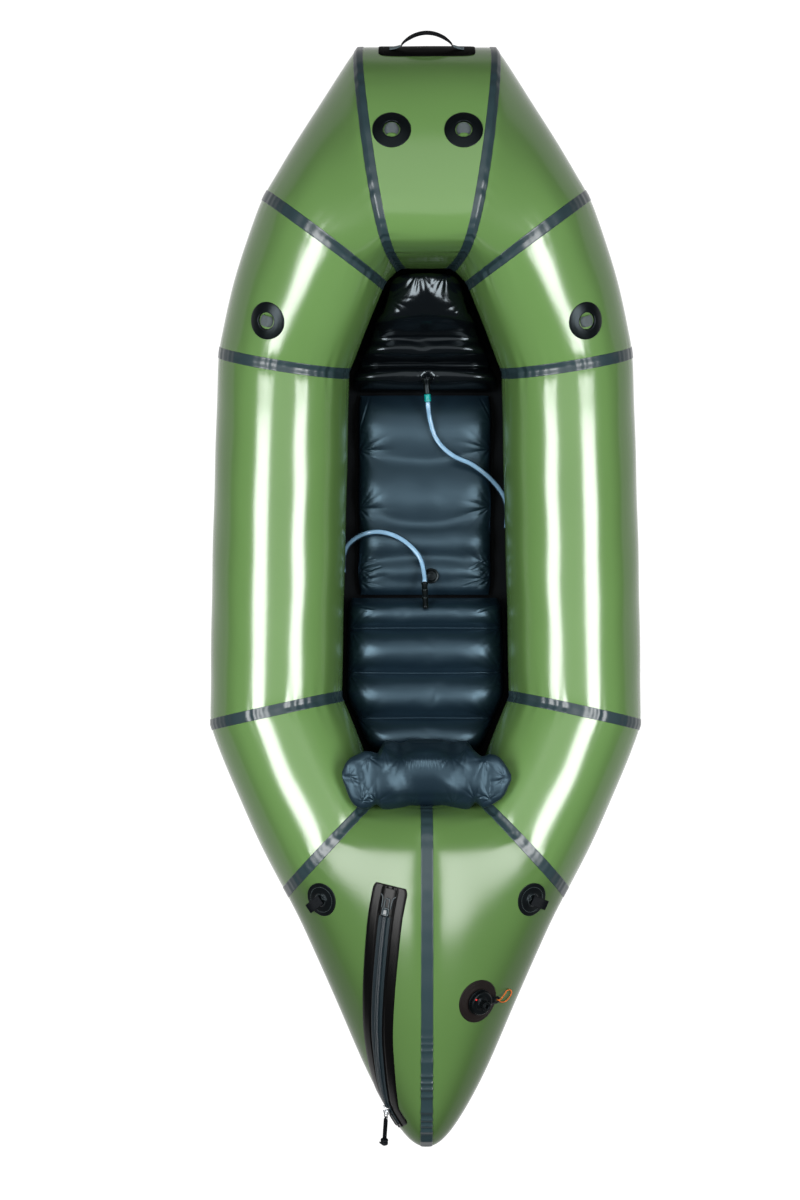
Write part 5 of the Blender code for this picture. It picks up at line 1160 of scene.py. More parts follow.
def creased(x, y, lines, depth, width):
    """Grooves along straight lines (x, y, x, y) that fade at their ends."""
    relief = np.zeros_like(x)
    for x0, y0, x1, y1 in lines:
        length = math.hypot(x1 - x0, y1 - y0)
        along = ((x - x0) * (x1 - x0) + (y - y0) * (y1 - y0)) / length ** 2
        across = ((x - x0) * (y1 - y0) - (y - y0) * (x1 - x0)) / length
        fade = np.sin(math.pi * np.clip(along, 0, 1)) ** 0.5
        relief -= depth * fade * (bell(across, width) - 0.5 * bell(across - 2 * width, width))
    return relief


def fanned(x, y, pinches, folds, reach):
    """Folds that run out of pinched points like a fan's ribs, from (x, y, heading, depth).

    Crests are round and the valleys between them sharp; a dimple marks the pinch itself.
    """
    relief = np.zeros_like(x)
    for number, (px, py, heading, depth) in enumerate(pinches):
        away = np.hypot(x - px, y - py)
        turn = (np.arctan2(y - py, x - px) - heading + math.pi) % (2 * math.pi) - math.pi
        ahead = np.clip(np.cos(turn * 0.85), 0, 1) ** 0.7
        rib = np.abs(np.cos(turn * folds / 2 + 1.3 * number + 0.7 * np.sin(3 * turn + number)))
        near = np.exp(-away / reach) * (1 - bell(away, 0.2 * reach))
        relief += depth * (2.4 * (rib - 0.6) * near * ahead - 0.9 * bell(away, 0.22 * reach))
    return relief


def smoothed(value):
    """A share eased in and out."""
    value = np.clip(value, 0, 1)
    return value * value * (3 - 2 * value)


def end_round(distance, reach):
    """How full a cushion is near its end seam: a quarter of an ellipse."""
    share = np.clip(distance / reach, 0, 1)
    return np.sqrt(np.clip(1 - (1 - share) ** 2, 0, 1))


def weld_lines(size, reach):
    """The places along a cushion of its cross welds: at the middle and at the sides."""
    return [middle + (side - middle) * reach ** 2 for middle, side in size["welds"]]


def channel_height(size, share, reach):
    """A cushion's height: it swells between its cross welds, the more the wider they stand."""
    length = size["front"] - size["rear"]
    lines = weld_lines(size, reach)
    height = np.full(np.shape(share), size["weld"])
    for first, last in zip(lines[:-1], lines[1:]):
        part = (share - first) / (last - first)
        full = np.minimum(1.0, (last - first) * length / 0.085) ** 0.7
        swell = np.sin(math.pi * np.clip(part, 0, 1)) ** size["power"]
        height = np.where((part > 0) & (part < 1),
                          size["weld"] + (size["crown"] - size["weld"]) * full * swell, height)
    return height


def settled(name, points, pinned, growth, cap, rounds, bending=0.3):
    pinned[0] = pinned[-1] = True
    points = inflate(f"{name}_cloth", points, pinned, growth, cap, bending)
    return relaxed(points, rounds, pinned)


def side_reach(grid):
    """How near each point of a cushion's grid is to its row's widest: 0 in the middle, 1 there."""
    wide = np.abs(grid[..., 0])
    return wide / wide.max(axis=1, keepdims=True)


def channel_grid(size, rows, columns):
    """The mat or the seat as cut: sections from rear to front, higher between two welds."""
    rear, length = size["rear"], size["front"] - size["rear"]
    run = np.linspace(0.0015, length - 0.0015, rows)
    loops = []
    for step in run:
        y = rear + step
        full = end_round(min(step, length - step), END_REACH)
        height = float(channel_height(size, step / length, 0.0)) * 0.95 * (0.10 + 0.90 * full)
        low = floor_top(y) + FIT
        half = min(size["half"], cockpit_half_width(y)) * (0.93 + 0.07 * full)
        bottom = low + size["weld"] * 0.42 * (1 - full)
        loops.append(pillow_loop(y, half - CUT_INSET, bottom, bottom + height,
                                 bottom + height * 0.42, columns))
    points = np.array(loops)
    rim = points[:, :1, 2]
    reach, share = side_reach(points), (points[..., 1] - rear) / length
    swell = channel_height(size, share, reach) / channel_height(size, share, 0.0 * reach)
    points[..., 2] = np.where(points[..., 2] > rim, rim + (points[..., 2] - rim) * swell,
                              points[..., 2])
    return points


def side_gathers(size, half_at, depth):
    """The gathers down both sides: a pinch at each weld's end, and smaller ones all along."""
    rear, front = size["rear"], size["front"]
    pinches, small = [], []
    sides = ((-1.0, 0.0), (1.0, math.pi))
    for _, side in size["welds"][1:-1]:
        for sign, heading in sides:
            at = rear + side * (front - rear) + 0.002 * sign
            pinches.append((sign * (half_at(at) + ROOM_SPARE - 0.010), at, heading, depth))
    for number, at in enumerate(np.arange(rear + 0.014, front - 0.012, 0.0125)):
        for sign, heading in sides:
            at_side = at + 0.003 * math.sin(number * 2.4 + sign)
            strength = 0.42 * depth * (0.7 + 0.5 * math.sin(number * 1.7 + 2 * sign))
            edge = half_at(at_side) + ROOM_SPARE - 0.007
            small.append((sign * edge, at_side, heading, strength))
    return pinches, small


def make_channel_cushion(name, node, size, rows, columns, growth, depth):
    """The mat or the seat: channels across the boat between welds, blown up as cloth.

    After the cloth has settled, the grid is made finer, the welds are pressed in and the sides
    are gathered.
    """
    rear, front = size["rear"], size["front"]
    length = front - rear
    points = channel_grid(size, rows, columns)
    reach, share = side_reach(points), (points[..., 1] - rear) / length
    above = points[..., 2] > points[:, :1, 2]
    welds = np.zeros(above.shape, bool)
    for line in weld_lines(size, reach)[1:-1]:
        welds |= np.abs(share - line) < 0.55 / rows
    low = points[..., 2].min(axis=1, keepdims=True) + CONTACT
    pinned = (welds & above & (reach < 0.9)) | (points[..., 2] < low)
    points = settled(name, points, pinned, growth, 0.003, 8)
    ends = points[..., 2] < low
    ends[0] = ends[-1] = True
    points = refined(relaxed(points, size["soft"], ends))
    rim = points[:, :1, 2]
    top = floor_top(0.0) + FIT + size["crown"] + 0.003

    def half_at(y):
        """Half the cushion's room at a station."""
        return np.minimum(size["half"], cockpit_half_width(y))

    points = fit_inside(points, (rear, front), half_at, top)
    x, y, z = points[..., 0], points[..., 1], points[..., 2]
    reach, up = side_reach(points), np.clip((z - rim) / 0.008, 0, 1)
    pinches, small = side_gathers(size, half_at, depth)
    relief = creased(x, y, size["creases"], 0.0016, 0.0018)
    relief += fanned(x, y, pinches, 11, 0.026) + fanned(x, y, small, 7, 0.012)
    for line in weld_lines(size, reach)[1:-1]:
        relief -= size["groove"] * bell(y - (rear + line * length), 0.0020)
    z = np.minimum(z + relief * up, top)
    return soft_piece(name, np.stack((x, y, z), axis=-1), "seat", node)


def make_foot_brace():
    """The foot brace: two rolls and a pad that climbs to the bow, puckered along its top."""
    rows, columns = 66, 110
    share = np.linspace(0.004, 0.996, rows)
    for weld in BRACE_WELD_SHARES:
        share[np.argmin(np.abs(share - weld))] = weld
    table = np.array(BRACE_PROFILE)
    fine = np.linspace(0, 1, 400)
    profile = np.interp(fine, table[:, 0], table[:, 1])
    profile = np.convolve(np.pad(profile, 6, mode="edge"), np.ones(13) / 13, mode="valid")
    loops = []
    for part in share:
        y = BRACE_REAR + part * (BRACE_FRONT - BRACE_REAR)
        high = np.interp(part, fine, profile)
        full = end_round(min(part * 1.5, (1 - part)) * 0.229, 0.022)
        low = floor_top(y) + FIT
        middle = high * 0.62 if part > 0.5 else high * 0.4
        low = low + (middle - low) * (1 - full)
        high = high - (high - middle) * (1 - full) * 0.9
        half = cockpit_half_width(y) * (0.90 + 0.10 * full)
        domed = float(smoothed((part - 0.60) / 0.20))
        loops.append(pillow_loop(y, half - CUT_INSET, low, high - 0.004,
                                 low + (high - low) * 0.45, columns,
                                 side=0.40 + 0.18 * domed, top=0.62 + 0.20 * domed))
    points = np.array(loops)
    rim = points[:, :1, 2]
    welds = np.array([min(abs(s - w) for w in BRACE_WELD_SHARES) < 1e-6 for s in share])
    low = points[..., 2].min(axis=1, keepdims=True)
    pinned = (welds[:, None] & (points[..., 2] > rim)) | (points[..., 2] < low + 0.003)
    points = refined(settled("foot_brace", points, pinned, 0.010, 0.004, 5))
    rim = points[:, :1, 2]
    points = fit_inside(points, (BRACE_REAR, BRACE_FRONT), cockpit_half_width, BRACE_TOP)
    # above the tubes' middle the pad spreads over their inner slopes and to the bow deck
    x, y, z = points[..., 0], points[..., 1], points[..., 2]
    high = smoothed((z - 0.175) / 0.035)
    x = x * (1 + BRACE_SPREAD * high / 0.10)
    y = y + BRACE_SPREAD * high * smoothed((y - 0.60) / 0.08)
    up = np.clip((z - rim) / 0.02, 0, 1)
    # the pad is crowned, so that its left and right halves face the lights beside it
    z = z - BRACE_CROWN * (np.hypot(x, 0.016) - 0.016) * smoothed((y - 0.595) / 0.03) * up
    # fans of folds down from the top edge and in from the pad's sides
    relief = fanned(x, y, BRACE_PINCHES, 13, 0.022)
    spikes = np.abs(np.cos(x * math.pi / 0.0082 + 0.8 * np.sin(x * 90))) - 0.6
    relief += 0.0003 * spikes * smoothed((y - 0.655) / 0.03) * np.exp(-(x / 0.06) ** 4)
    # the dimple round the valve's neck, with a puckered rim
    right, ahead = x - BRACE_VALVE[0], y - BRACE_VALVE[1]
    around = np.hypot(right, ahead * 1.1)
    relief -= 0.006 * bell(around, 0.009)
    star = np.sin(np.arctan2(ahead, right) * 11)
    relief += (0.0013 + 0.0002 * star) * bell(around - 0.016, 0.006)
    z = np.minimum(z + relief * up, BRACE_TOP + ROOM_SPARE)
    return soft_piece("foot_brace_pad", np.stack((x, y, z), axis=-1), "brace", "foot_brace")


def make_backrest():
    """The backrest pillow: lofted from left to right between its two lobed edges.

    Each edge is a line of lobes; fans of folds run out of the notches between them.
    """
    rows, columns = 100, 96
    rear = COCKPIT_Y < SEAT["rear"]
    cos, sin = circle(480)
    front_edge, rear_edge = np.array(BACK_EDGE_FRONT), np.array(BACK_EDGE_REAR)
    loops = []
    for share in np.linspace(-0.992, 0.992, rows):
        reach, x = abs(share), share * BACK["half"]
        rise = float(smoothed((reach - 0.28) / 0.42))
        low = BACK["bottom"] + (BACK["top"] - BACK["end"] - BACK["bottom"]) * rise
        high = BACK["top"] - 0.12 * BACK["end"] * reach ** 2 - 0.005
        pinch = math.sqrt(max(1 - reach ** 26, 0.04))
        middle, half = (high + low) / 2, (high - low) / 2 * pinch
        z = middle + half * signed_power(sin, 0.6)
        ahead = np.interp(x, front_edge[:, 0], front_edge[:, 1])
        behind = np.interp(x, rear_edge[:, 0], rear_edge[:, 1])
        seated = min(reach, 0.55) * BACK["half"]
        wall = float(np.interp(seated, COCKPIT_X[rear], COCKPIT_Y[rear])) + 0.001
        centre = (ahead + behind) / 2
        thick = (ahead - behind) / 2 * pinch
        y = centre + thick * signed_power(cos, 0.7)
        # below the tubes' crowns the pillow lies against the cockpit's rear wall
        deep = smoothed((0.285 - z) / 0.06)
        y = y + deep * np.clip(wall + 0.002 - y, 0, None) + deep * 0.010 * (cos > 0)
        loops.append(spread(np.stack((np.full(480, x), y, z), axis=1), columns, closed=True))
    points = np.array(loops)
    pinned = points[..., 2] < BACK["bottom"] + 0.03
    points = refined(settled("backrest", points, pinned, 0.008, 0.003, 8, bending=0.15))
    x, y, z = points[..., 0], points[..., 1], points[..., 2]
    top = np.clip((z - 0.270) / 0.03, 0, 1)
    relief = 0.34 * fanned(x, y, BACK_PINCHES, 9, 0.020)
    relief += creased(x, y, BACK_CREASES, 0.0014, 0.0050)
    relief += creased(x, y, BACK_FOLDS, 0.0016, 0.0070)
    # broad swells at the left and right of the face, which falls away aft in the middle
    for place in (-0.088, 0.082):
        relief += 0.0026 * np.exp(-((x - place) / 0.034) ** 2 - ((y + 0.362) / 0.040) ** 2)
    relief -= 0.16 * (-0.318 - y) * (y < -0.318) * np.exp(-(x / 0.050) ** 4)
    strip = bell(y + 0.331, 0.010) * (np.abs(x) < 0.048)
    relief += 0.0007 * strip * np.sin(x * 2 * math.pi / 0.0072)
    points = np.stack([np.clip(values, *span) for values, span in
                       zip((x, y, z + relief * top), BACK["room"])], axis=-1)
    return soft_piece("backrest_pillow", points, "backrest", "backrest", body="backrest")


make_channel_cushion("leg_mat_pillow", "leg_mat", MAT, 104, 140, 0.010, 0.0016)
make_channel_cushion("seat_pillow", "seat_cushion", SEAT, 84, 150, 0.010, 0.0018)
make_foot_brace()
make_backrest()


# ---------------------------------------------------------------- lash tabs, loops, handle
BAR_WIDTH, BAR_WALL, BAR_RISE = 0.022, 0.0018, 0.0086
LASH_BORE = 0.0170
LASH_PROFILE = ((LASH_BORE, -0.0012), (0.0385, -0.0012), (0.0385, 0.0010), (0.0379, 0.0017),
                (0.0330, 0.0027), (0.0270, 0.0038), (0.0215, 0.0046), (0.0188, 0.0049),
                (0.0176, 0.0043), (LASH_BORE, 0.0024))
LOOP_LENGTH, LOOP_WIDTH, LOOP_WALL, LOOP_EYE = 0.040, 0.020, 0.0016, 0.0085
DISC_TOP, PAD_RISE = 0.0017, 0.002
HANDLE_HALF, HANDLE_GAP, HANDLE_WALL, HANDLE_RISE = 0.052, 0.0016, 0.0022, 0.027
HANDLE_REST = math.radians(40.0)
LOOP_TURNS = {"left": 215.0, "right": -22.0}
# Where the fittings sit: how far along their panel and how far round the tube
BOW_LASH_SPREAD, BOW_LASH_ANGLE = 0.57, math.radians(65.0)
SIDE_LASH, SIDE_LASH_SLANT = (0.71, math.radians(70.0)), math.radians(20.0)
LOOP_PLACE = (0.145, math.radians(56.0))
HANDLE_SPOT = ("bow", "right", 0.5, math.radians(16.5))
SIDES = (("left", -1.0), ("right", 1.0))


def make_lash_tab(place, spot, slant):
    """A moulded disc, dished towards its opening, and the grey bar woven across it."""
    profile = rounded(LASH_PROFILE, 0.0007, 3, closed=True)
    draped_turned(f"lash_dish_{place}", spot, profile, "rubber", ring=True,
                  node=f"lash_disc_{place}")
    radius = LASH_BORE - BAR_WALL - FIT
    run = np.linspace(-1.0, 1.0, 41)
    rise = (1 - run ** 4) * BAR_RISE - 0.0010
    cos, sin = math.cos(slant), math.sin(slant)
    section = strap_section(2.0, BAR_WALL, 36)
    forth = section[:, 0] * BAR_WIDTH / 2
    reach = run[:, None] * np.sqrt(radius ** 2 - forth ** 2)
    points, normals = spot.drape(reach * cos - forth * sin, reach * sin + forth * cos)
    height = rise[:, None] + BAR_WALL / 2 + section[:, 1]
    grid_piece(f"lash_strap_{place}", points + normals * height[..., None], "strap",
               uv=np.stack((reach, np.broadcast_to(forth, reach.shape)), axis=-1),
               node=f"lash_bar_{place}")


def make_lash_tabs():
    """The lash tabs on the bow deck and on the bow quarters."""
    for side, sign in SIDES:
        spot = Spot("bow", "right", (1 - sign * BOW_LASH_SPREAD) / 2, BOW_LASH_ANGLE)
        make_lash_tab(f"bow_{side}", spot, 0.0)
        make_lash_tab(f"side_{side}", Spot(BOW_QUARTER, side, *SIDE_LASH), sign * SIDE_LASH_SLANT)


def make_stern_loop(side):
    """A disc with a stitched pad, and the folded webbing loop that swings on it."""
    spot = Spot(STERN, side, *LOOP_PLACE)
    top = DISC_TOP
    profile = rounded(((0.0340, -0.0010), (0.0350, 0.0004), (0.0349, 0.0019), (0.0338, 0.0021),
                       (0.0328, top), (0.0180, top), (0.0142, top + 0.0003),
                       (0.0130, top + 0.0019), (0.0030, top + PAD_RISE)), 0.0008, 4)
    draped_turned(f"loop_plate_{side}", spot, profile, "rubber", node=f"stern_loop_disc_{side}")
    turn = math.radians(LOOP_TURNS[side])
    heading = math.cos(turn) * spot.right + math.sin(turn) * spot.forward
    hinge = np.cross(heading, spot.out)
    root = spot.point + spot.out * (DISC_TOP + PAD_RISE + FIT + LOOP_WALL + LOOP_EYE / 2)
    cos, sin = circle(96)
    run = (1 - cos) / 2
    rise = sin * (LOOP_EYE / 2 - LOOP_WALL / 2) * (0.55 + 0.45 * np.sin(math.pi * run))
    line = root + heading * ((run - 0.12) * LOOP_LENGTH)[:, None] + spot.out * rise[:, None]
    sweep(f"loop_strap_{side}", line, strap_section(LOOP_WIDTH, LOOP_WALL), "webbing",
          side=hinge, closed=True, node=f"stern_loop_{side}", body=f"stern_loop_{side}")

    def on_pad(points):
        """Points of (along the loop, across it) as offsets from the spot."""
        points = np.asarray(points, float)
        x, y = points[:, 0], points[:, 1]
        return np.stack((x * heading.dot(spot.right) - y * heading.dot(spot.forward),
                         x * heading.dot(spot.forward) + y * heading.dot(spot.right)), axis=1)

    # the stitching that holds the pad: two chevrons, an arc, and a seam round the disc's edge
    rows = [on_pad(((-0.011, -s * 0.007), (-0.004 + k, 0.0), (-0.011, s * 0.007)))
            for k, s in ((0.0, 1.0), (-0.0032, 0.8))]
    ring = np.linspace(0.4 * math.pi, 1.6 * math.pi, 30)
    rows.append(on_pad(np.stack((0.0118 * np.cos(ring), 0.0118 * np.sin(ring)), axis=1)))
    ring = np.linspace(0, 2 * math.pi, 80)
    rows.append(np.stack((0.0265 * np.cos(ring), 0.0265 * np.sin(ring)), axis=1))
    stitches(f"loop_stitches_{side}", rows[:3], spot, top + PAD_RISE, "thread")
    stitches(f"loop_edge_stitches_{side}", rows[3:], spot, top, "thread")


def make_bow_handle():
    """The bow's patch with its two stitched anchors, and the webbing arch between them."""
    spot = Spot(*HANDLE_SPOT)
    top = 0.0018

    def oblong(cos, sin):
        """An oblong three times as long as it is wide, with rounded corners."""
        return signed_power(cos, 0.3) * 3.0, signed_power(sin, 0.3)

    profile = rounded(((0.0320, -0.0010), (0.0330, 0.0003), (0.0329, 0.0015), (0.0322, top),
                       (0.0300, top), (0.0294, top - 0.0004), (0.0288, top), (0.0160, top),
                       (0.0020, top)), 0.0004, 3)
    draped_turned("handle_patch", spot, profile, "patch", steps=160, outline=oblong,
                  node="bow_handle_patch")
    axis_height = 0.0017 + 0.0065
    run = np.linspace(0.0, 1.0, 30)
    for side, sign in SIDES:
        right = sign * (HANDLE_HALF + HANDLE_GAP + run * 0.0225)
        fall = (1 - run) ** 2
        lift = axis_height * fall + (top + 0.0012) * (1 - fall)
        line = spot.place(right, np.zeros(30), lift)
        section = strap_sections(0.010 + 0.006 * np.clip(run * 2, 0, 1), HANDLE_WALL)
        sweep(f"handle_anchor_{side}", line, section, "anchor",
              side=np.cross(tangents(line), spot.out))
        cross = [sign * (0.0640 + x) for x in (0.0, 0.0085)]
        rows = [((cross[0], -0.0052), (cross[1], 0.0052)),
                ((cross[0], 0.0052), (cross[1], -0.0052)),
                ((cross[0], -0.0055), (cross[0], 0.0055)),
                ((cross[1], -0.0055), (cross[1], 0.0055))]
        stitches(f"handle_stitches_{side}", rows, spot, top + 0.0024, "thread", length=0.0022)
    run = np.linspace(-1.0, 1.0, 121)
    arch = np.cos(run * math.pi / 2) ** 0.68 * HANDLE_RISE
    section = strap_sections(0.010 + 0.010 * np.clip((1 - np.abs(run)) / 0.33, 0, 1), HANDLE_WALL)
    reach = np.array((0.0, math.cos(HANDLE_REST), math.sin(HANDLE_REST)))
    hinge = spot.point + spot.out * axis_height
    line = hinge + spot.right * (run * HANDLE_HALF)[:, None] + reach * arch[:, None]
    sweep("handle_arch", line, section, "webbing", side=np.cross(reach, spot.right),
          node="bow_handle", body="bow_handle")


# ---------------------------------------------------------------- the zip
ZIP_ROUTE_SHARES = ((0.605, 90.5), (0.585, 78.5), (0.585, 65.5), (0.59, 53.5), (0.605, 41.0),
                    (0.635, 31.0), (0.665, 22.0), (0.70, 14.0), (0.765, 11.5), (0.80, 11.2))
ZIP_REST_SHARE, ZIP_BLEND_SHARE, ZIP_TRAVEL = 0.915, 0.10, 0.150
ZIP_HALF, ZIP_TAPE, ZIP_BASE_TOP, ZIP_TAPE_TOP = 0.037, 0.013, 0.0015, 0.0027
ZIP_END = 0.040
CHAIN_WIDTH, CHAIN_HEIGHT = 0.0085, 0.0036
TOOTH_PITCH, TOOTH_RELIEF, TOOTH_ROOT = 0.0026, 0.00018, 0.0012
SLIDER_LENGTH, SLIDER_WIDTH, SLIDER_WALL, RAIL_GAP = 0.021, 0.017, 0.0022, 0.0006
# The pull's ring: its outside, its wire, the radius of its corners and how thick it is drawn
RING_WIDTH, RING_LENGTH, RING_WIRE, RING_CORNER, RING_DRAWN = 0.0098, 0.019, 0.0016, 0.0022, 0.0024


class ZipRoute:
    """The zip's route on the hull, and the circle that the slider's way follows, as the part's.

    The circle goes through the slider's rest, the end of its travel and half way between; the
    chain turns about it there, and passes over into the hull's own slope further up.
    """

    def __init__(self, height):
        knots = [(along, math.radians(angle), 0.0) for along, angle in ZIP_ROUTE_SHARES]
        self.fine = smooth_route(knots, 400)
        points = hull_point(STERN, "left", self.fine[:, 0], self.fine[:, 1])
        run = run_of(points)
        self.length, self.shares, self.height = run[-1], run / run[-1], height
        self.far = ZIP_REST_SHARE - ZIP_TRAVEL / self.length
        middle_share = (ZIP_REST_SHARE + self.far) / 2
        first, middle, last = [self.lifted(s) for s in (self.far, middle_share, ZIP_REST_SHARE)]
        a, b = first - middle, last - middle
        axis = np.cross(a, b)
        self.centre = (middle + np.cross(a.dot(a) * b - b.dot(b) * a, axis) / (2 * axis.dot(axis)))
        axis = unit(axis)
        forth = self.lifted(ZIP_REST_SHARE) - self.lifted(middle_share)
        self.axis = axis if np.cross(axis, last - self.centre).dot(forth) > 0 else -axis
        self.radius = np.linalg.norm(last - self.centre)
        self.start = last
        heading = np.cross(self.axis, unit(middle - self.centre))
        out = self.spot(middle_share).out
        out = Vector(unit(out - out.dot(heading) * heading))
        back = Matrix.Rotation((ZIP_REST_SHARE - middle_share) * self.length / self.radius, 3,
                               Vector(self.axis))
        self.out = np.array(back @ out)

    def spot(self, share):
        """The place on the hull at a share of the route."""
        along, angle = (float(np.interp(share, self.shares, self.fine[:, k])) for k in (0, 1))
        return Spot(STERN, "left", along, angle)

    def lifted(self, share):
        """The middle of the chain above the hull at a share of the route."""
        spot = self.spot(share)
        return spot.point + spot.out * self.height

    def draped(self, share):
        """The place on the hull, and the axes across and along the zip there."""
        spot, step = self.spot(share), 1 / 84
        ahead, behind = self.spot(min(share + step, 1.0)), self.spot(max(share - step, 0.0))
        heading = ahead.point - behind.point
        heading = unit(heading - heading.dot(spot.out) * spot.out)
        return spot, np.cross(heading, spot.out), heading

    def circular(self, share):
        """The chain's middle, and the axes across, along and outwards, on the circle."""
        turn = Matrix.Rotation((share - ZIP_REST_SHARE) * self.length / self.radius, 3,
                               Vector(self.axis))
        arm = np.array(turn @ Vector(self.start - self.centre))
        out = np.array(turn @ Vector(self.out))
        heading = np.cross(self.axis, unit(arm))
        return self.centre + arm, np.cross(heading, out), heading, out

    def chain(self, share):
        """The chain's middle, and the axes across and outwards: circular in the travel."""
        point, across, _, out = self.circular(share)
        weight = min(max((self.far - share) / ZIP_BLEND_SHARE, 0.0), 1.0)
        weight = weight ** 2 * (3 - 2 * weight)
        spot, side, _ = self.draped(share)
        point = point * (1 - weight) + (spot.point + spot.out * self.height) * weight
        out = unit(out * (1 - weight) + spot.out * weight)
        across = across * (1 - weight) + side * weight
        return point, unit(across - across.dot(out) * out), out


def zip_band(name, route, start, end, section, stations, finish, ends=(0.0, 1.0), **rest):
    """A band on the hull along the zip: a section of (across, height) at each station.

    ends says by what share its ends narrow, and what part of its length one of them takes up.
    """
    narrowing, parts = ends
    rows, uv = [], []
    for share in np.linspace(start, end, stations):
        spot, across, _ = route.draped(share)
        part = (share - start) / (end - start)
        factor = 1 - narrowing * max(0.0, 1 - min(part, 1 - part) * parts) ** 2
        offsets, heights = section[:, 0] * factor, section[:, 1]
        points, normals = spot.drape(offsets * (across @ spot.right),
                                     offsets * (across @ spot.forward))
        rows.append(points + normals * heights[:, None])
        uv.append(np.stack((np.full(len(offsets), share * route.length), offsets), axis=-1))
    return grid_piece(name, rows, finish, uv=uv, **rest)


def make_zip():
    """The cargo zip: its base, teeth, tapes, moulded ends and slider."""
    low, high = ZIP_BASE_TOP, ZIP_TAPE_TOP
    route = ZipRoute(high + FIT + CHAIN_HEIGHT / 2)
    half, tape = ZIP_HALF, ZIP_TAPE
    side = [(half, -0.0010), (half, low * 0.7), (half - 0.0012, low), (0.030, low), (0.024, low),
            (0.0200, low), (0.0170, low), (0.0158, low - 0.0008), (0.0146, low - 0.0008),
            (tape + 0.0006, high - 0.0004), (tape - 0.0004, high), (0.0100, high + 0.0001),
            (0.0066, high), (0.0058, high - 0.0009), (0.0030, high - 0.0010)]
    zip_band("zip_skirt", route, 0.0, 1.0, mirrored(side), 180, "zip", ends=(0.14, 40),
             node="zip_base")
    block = ZIP_END / route.length
    start, end = 1.6 * block, ZIP_REST_SHARE + SLIDER_LENGTH / 2 / route.length
    make_zip_teeth(route, start, end)
    half_tape = ((tape - 0.0002, high - 0.0004), (tape - 0.0006, high + 0.0003),
                 (0.0102, high + 0.0004), (0.0097, high), (0.0092, high + 0.0004),
                 (0.0066, high + 0.0004), (0.0056, high - 0.0004))
    zip_band("zip_tapes", route, start, 1 - 0.3 * block, mirrored(half_tape), 160, "ziptape")
    plate = ((0.0178, low - 0.0004), (0.0172, low + 0.0006), (0.0155, high + 0.0003),
             (0.0070, high + 0.0006))
    zip_band("zip_top_plate", route, 0.0060 / route.length, start - 0.10 * block,
             mirrored(plate), 40, "zip")
    make_zip_top(route, high)
    width, rise = 0.0105, 0.0028
    profile = [(-1.0, -0.5), (-1.0, 0.35), (-0.93, 0.75), (-0.80, 0.97), (-0.62, 1.0),
               (-0.44, 0.97), (-0.34, 0.80), (-0.28, 0.62), (-0.14, 0.60), (0.0, 0.60)]
    profile += [(-x, h) for x, h in profile[-2::-1]]
    section = np.array([(x * width, high + h * rise) for x, h in profile])
    gap = 0.0025 / route.length
    zip_band("zip_stop_end", route, end + gap, 1 - gap - 0.11 * block, section, 30,
             "rubber", ends=(0.45, 7))
    make_slider(route)


def make_zip_teeth(route, start, end):
    """The chain: two rows of teeth that meet in the middle, each a wave along its own side."""
    left = ((-1.0, -1.0), (-1.0, -0.2), (-0.9, 0.35), (-0.62, 0.8), (-0.3, 0.95), (-0.12, 0.75))
    section = np.array([*left, (0.0, 0.45), *((-x, h) for x, h in left[::-1])])
    side, high = section[:, 0], section[:, 1]
    rim = np.clip(np.abs(side) * 4, 0, 1) * (high > -0.9)
    rows, uv = [], []
    for share in np.linspace(start, end, int((end - start) * route.length / TOOTH_PITCH * 8)):
        point, across, out = route.chain(share)
        run = share * route.length
        beat = np.cos(2 * math.pi * run / TOOTH_PITCH + np.where(side > 0, math.pi, 0.0))
        lift = high * CHAIN_HEIGHT / 2 + TOOTH_RELIEF * beat * rim
        lift = np.where(high < 0, lift - TOOTH_ROOT, lift)
        reach = side * CHAIN_WIDTH / 2 * (1 + 0.03 * beat * rim)
        rows.append(point + across * reach[:, None] + out * lift[:, None])
        uv.append(np.stack((np.full(len(section), run), reach), axis=-1))
    grid_piece("zip_teeth", rows, "teeth", uv=uv, node="zip_chain")


def make_zip_top(route, high):
    """The moulding at the zip's top end: two flared ribs, a tab between them and a block."""
    spot, across, heading = route.draped(ZIP_END / route.length)

    def on_base(pairs, lift):
        """Points of (across, along) the zip, at a lift above the cloth."""
        pairs = np.asarray(pairs, float)
        way = pairs[:, :1] * across + pairs[:, 1:] * heading
        points, normals = spot.drape(way @ spot.right, way @ spot.forward)
        return points + normals * lift

    low = high + 0.0004
    for side, sign in SIDES:
        line = smooth_route([(sign * x, y, 0.0) for x, y in (
            (0.0160, -0.0200), (0.0135, -0.0180), (0.0105, -0.0130), (0.0098, -0.0040),
            (0.0098, 0.0060))], 40)
        sweep(f"zip_rib_{side}", on_base(line[:, :2], low + 0.0008), ring_section(0.0014, 12),
              "rib")
    turn = np.linspace(math.pi, 2 * math.pi, 12)
    tab = [(-0.0046, 0.0050), (-0.0046, -0.0040)]
    tab += [(0.0046 * math.cos(t), -0.0090 + 0.0046 * math.sin(t)) for t in turn]
    tab += [(0.0046, -0.0040), (0.0046, 0.0050)]
    line = smooth_route([(x, y, 0.0) for x, y in tab], 60)
    sweep("zip_tab", on_base(line[:, :2], low + 0.0010), ring_section(0.0015, 12), "rib")
    middle = spot.point + heading * 0.0135 + spot.out * (high + 0.0012)
    cos, sin = circle(64)
    x, y = 0.0078 * signed_power(cos, 0.3), 0.0085 * signed_power(sin, 0.3)
    block = ((1.0, -0.0026), (1.0, 0.0012), (0.95, 0.0019), (0.80, 0.0021), (0.76, 0.0017),
             (0.30, 0.0017))
    grid_piece("zip_block", layered(middle, (across, heading, spot.out), x, y, block), "rib")


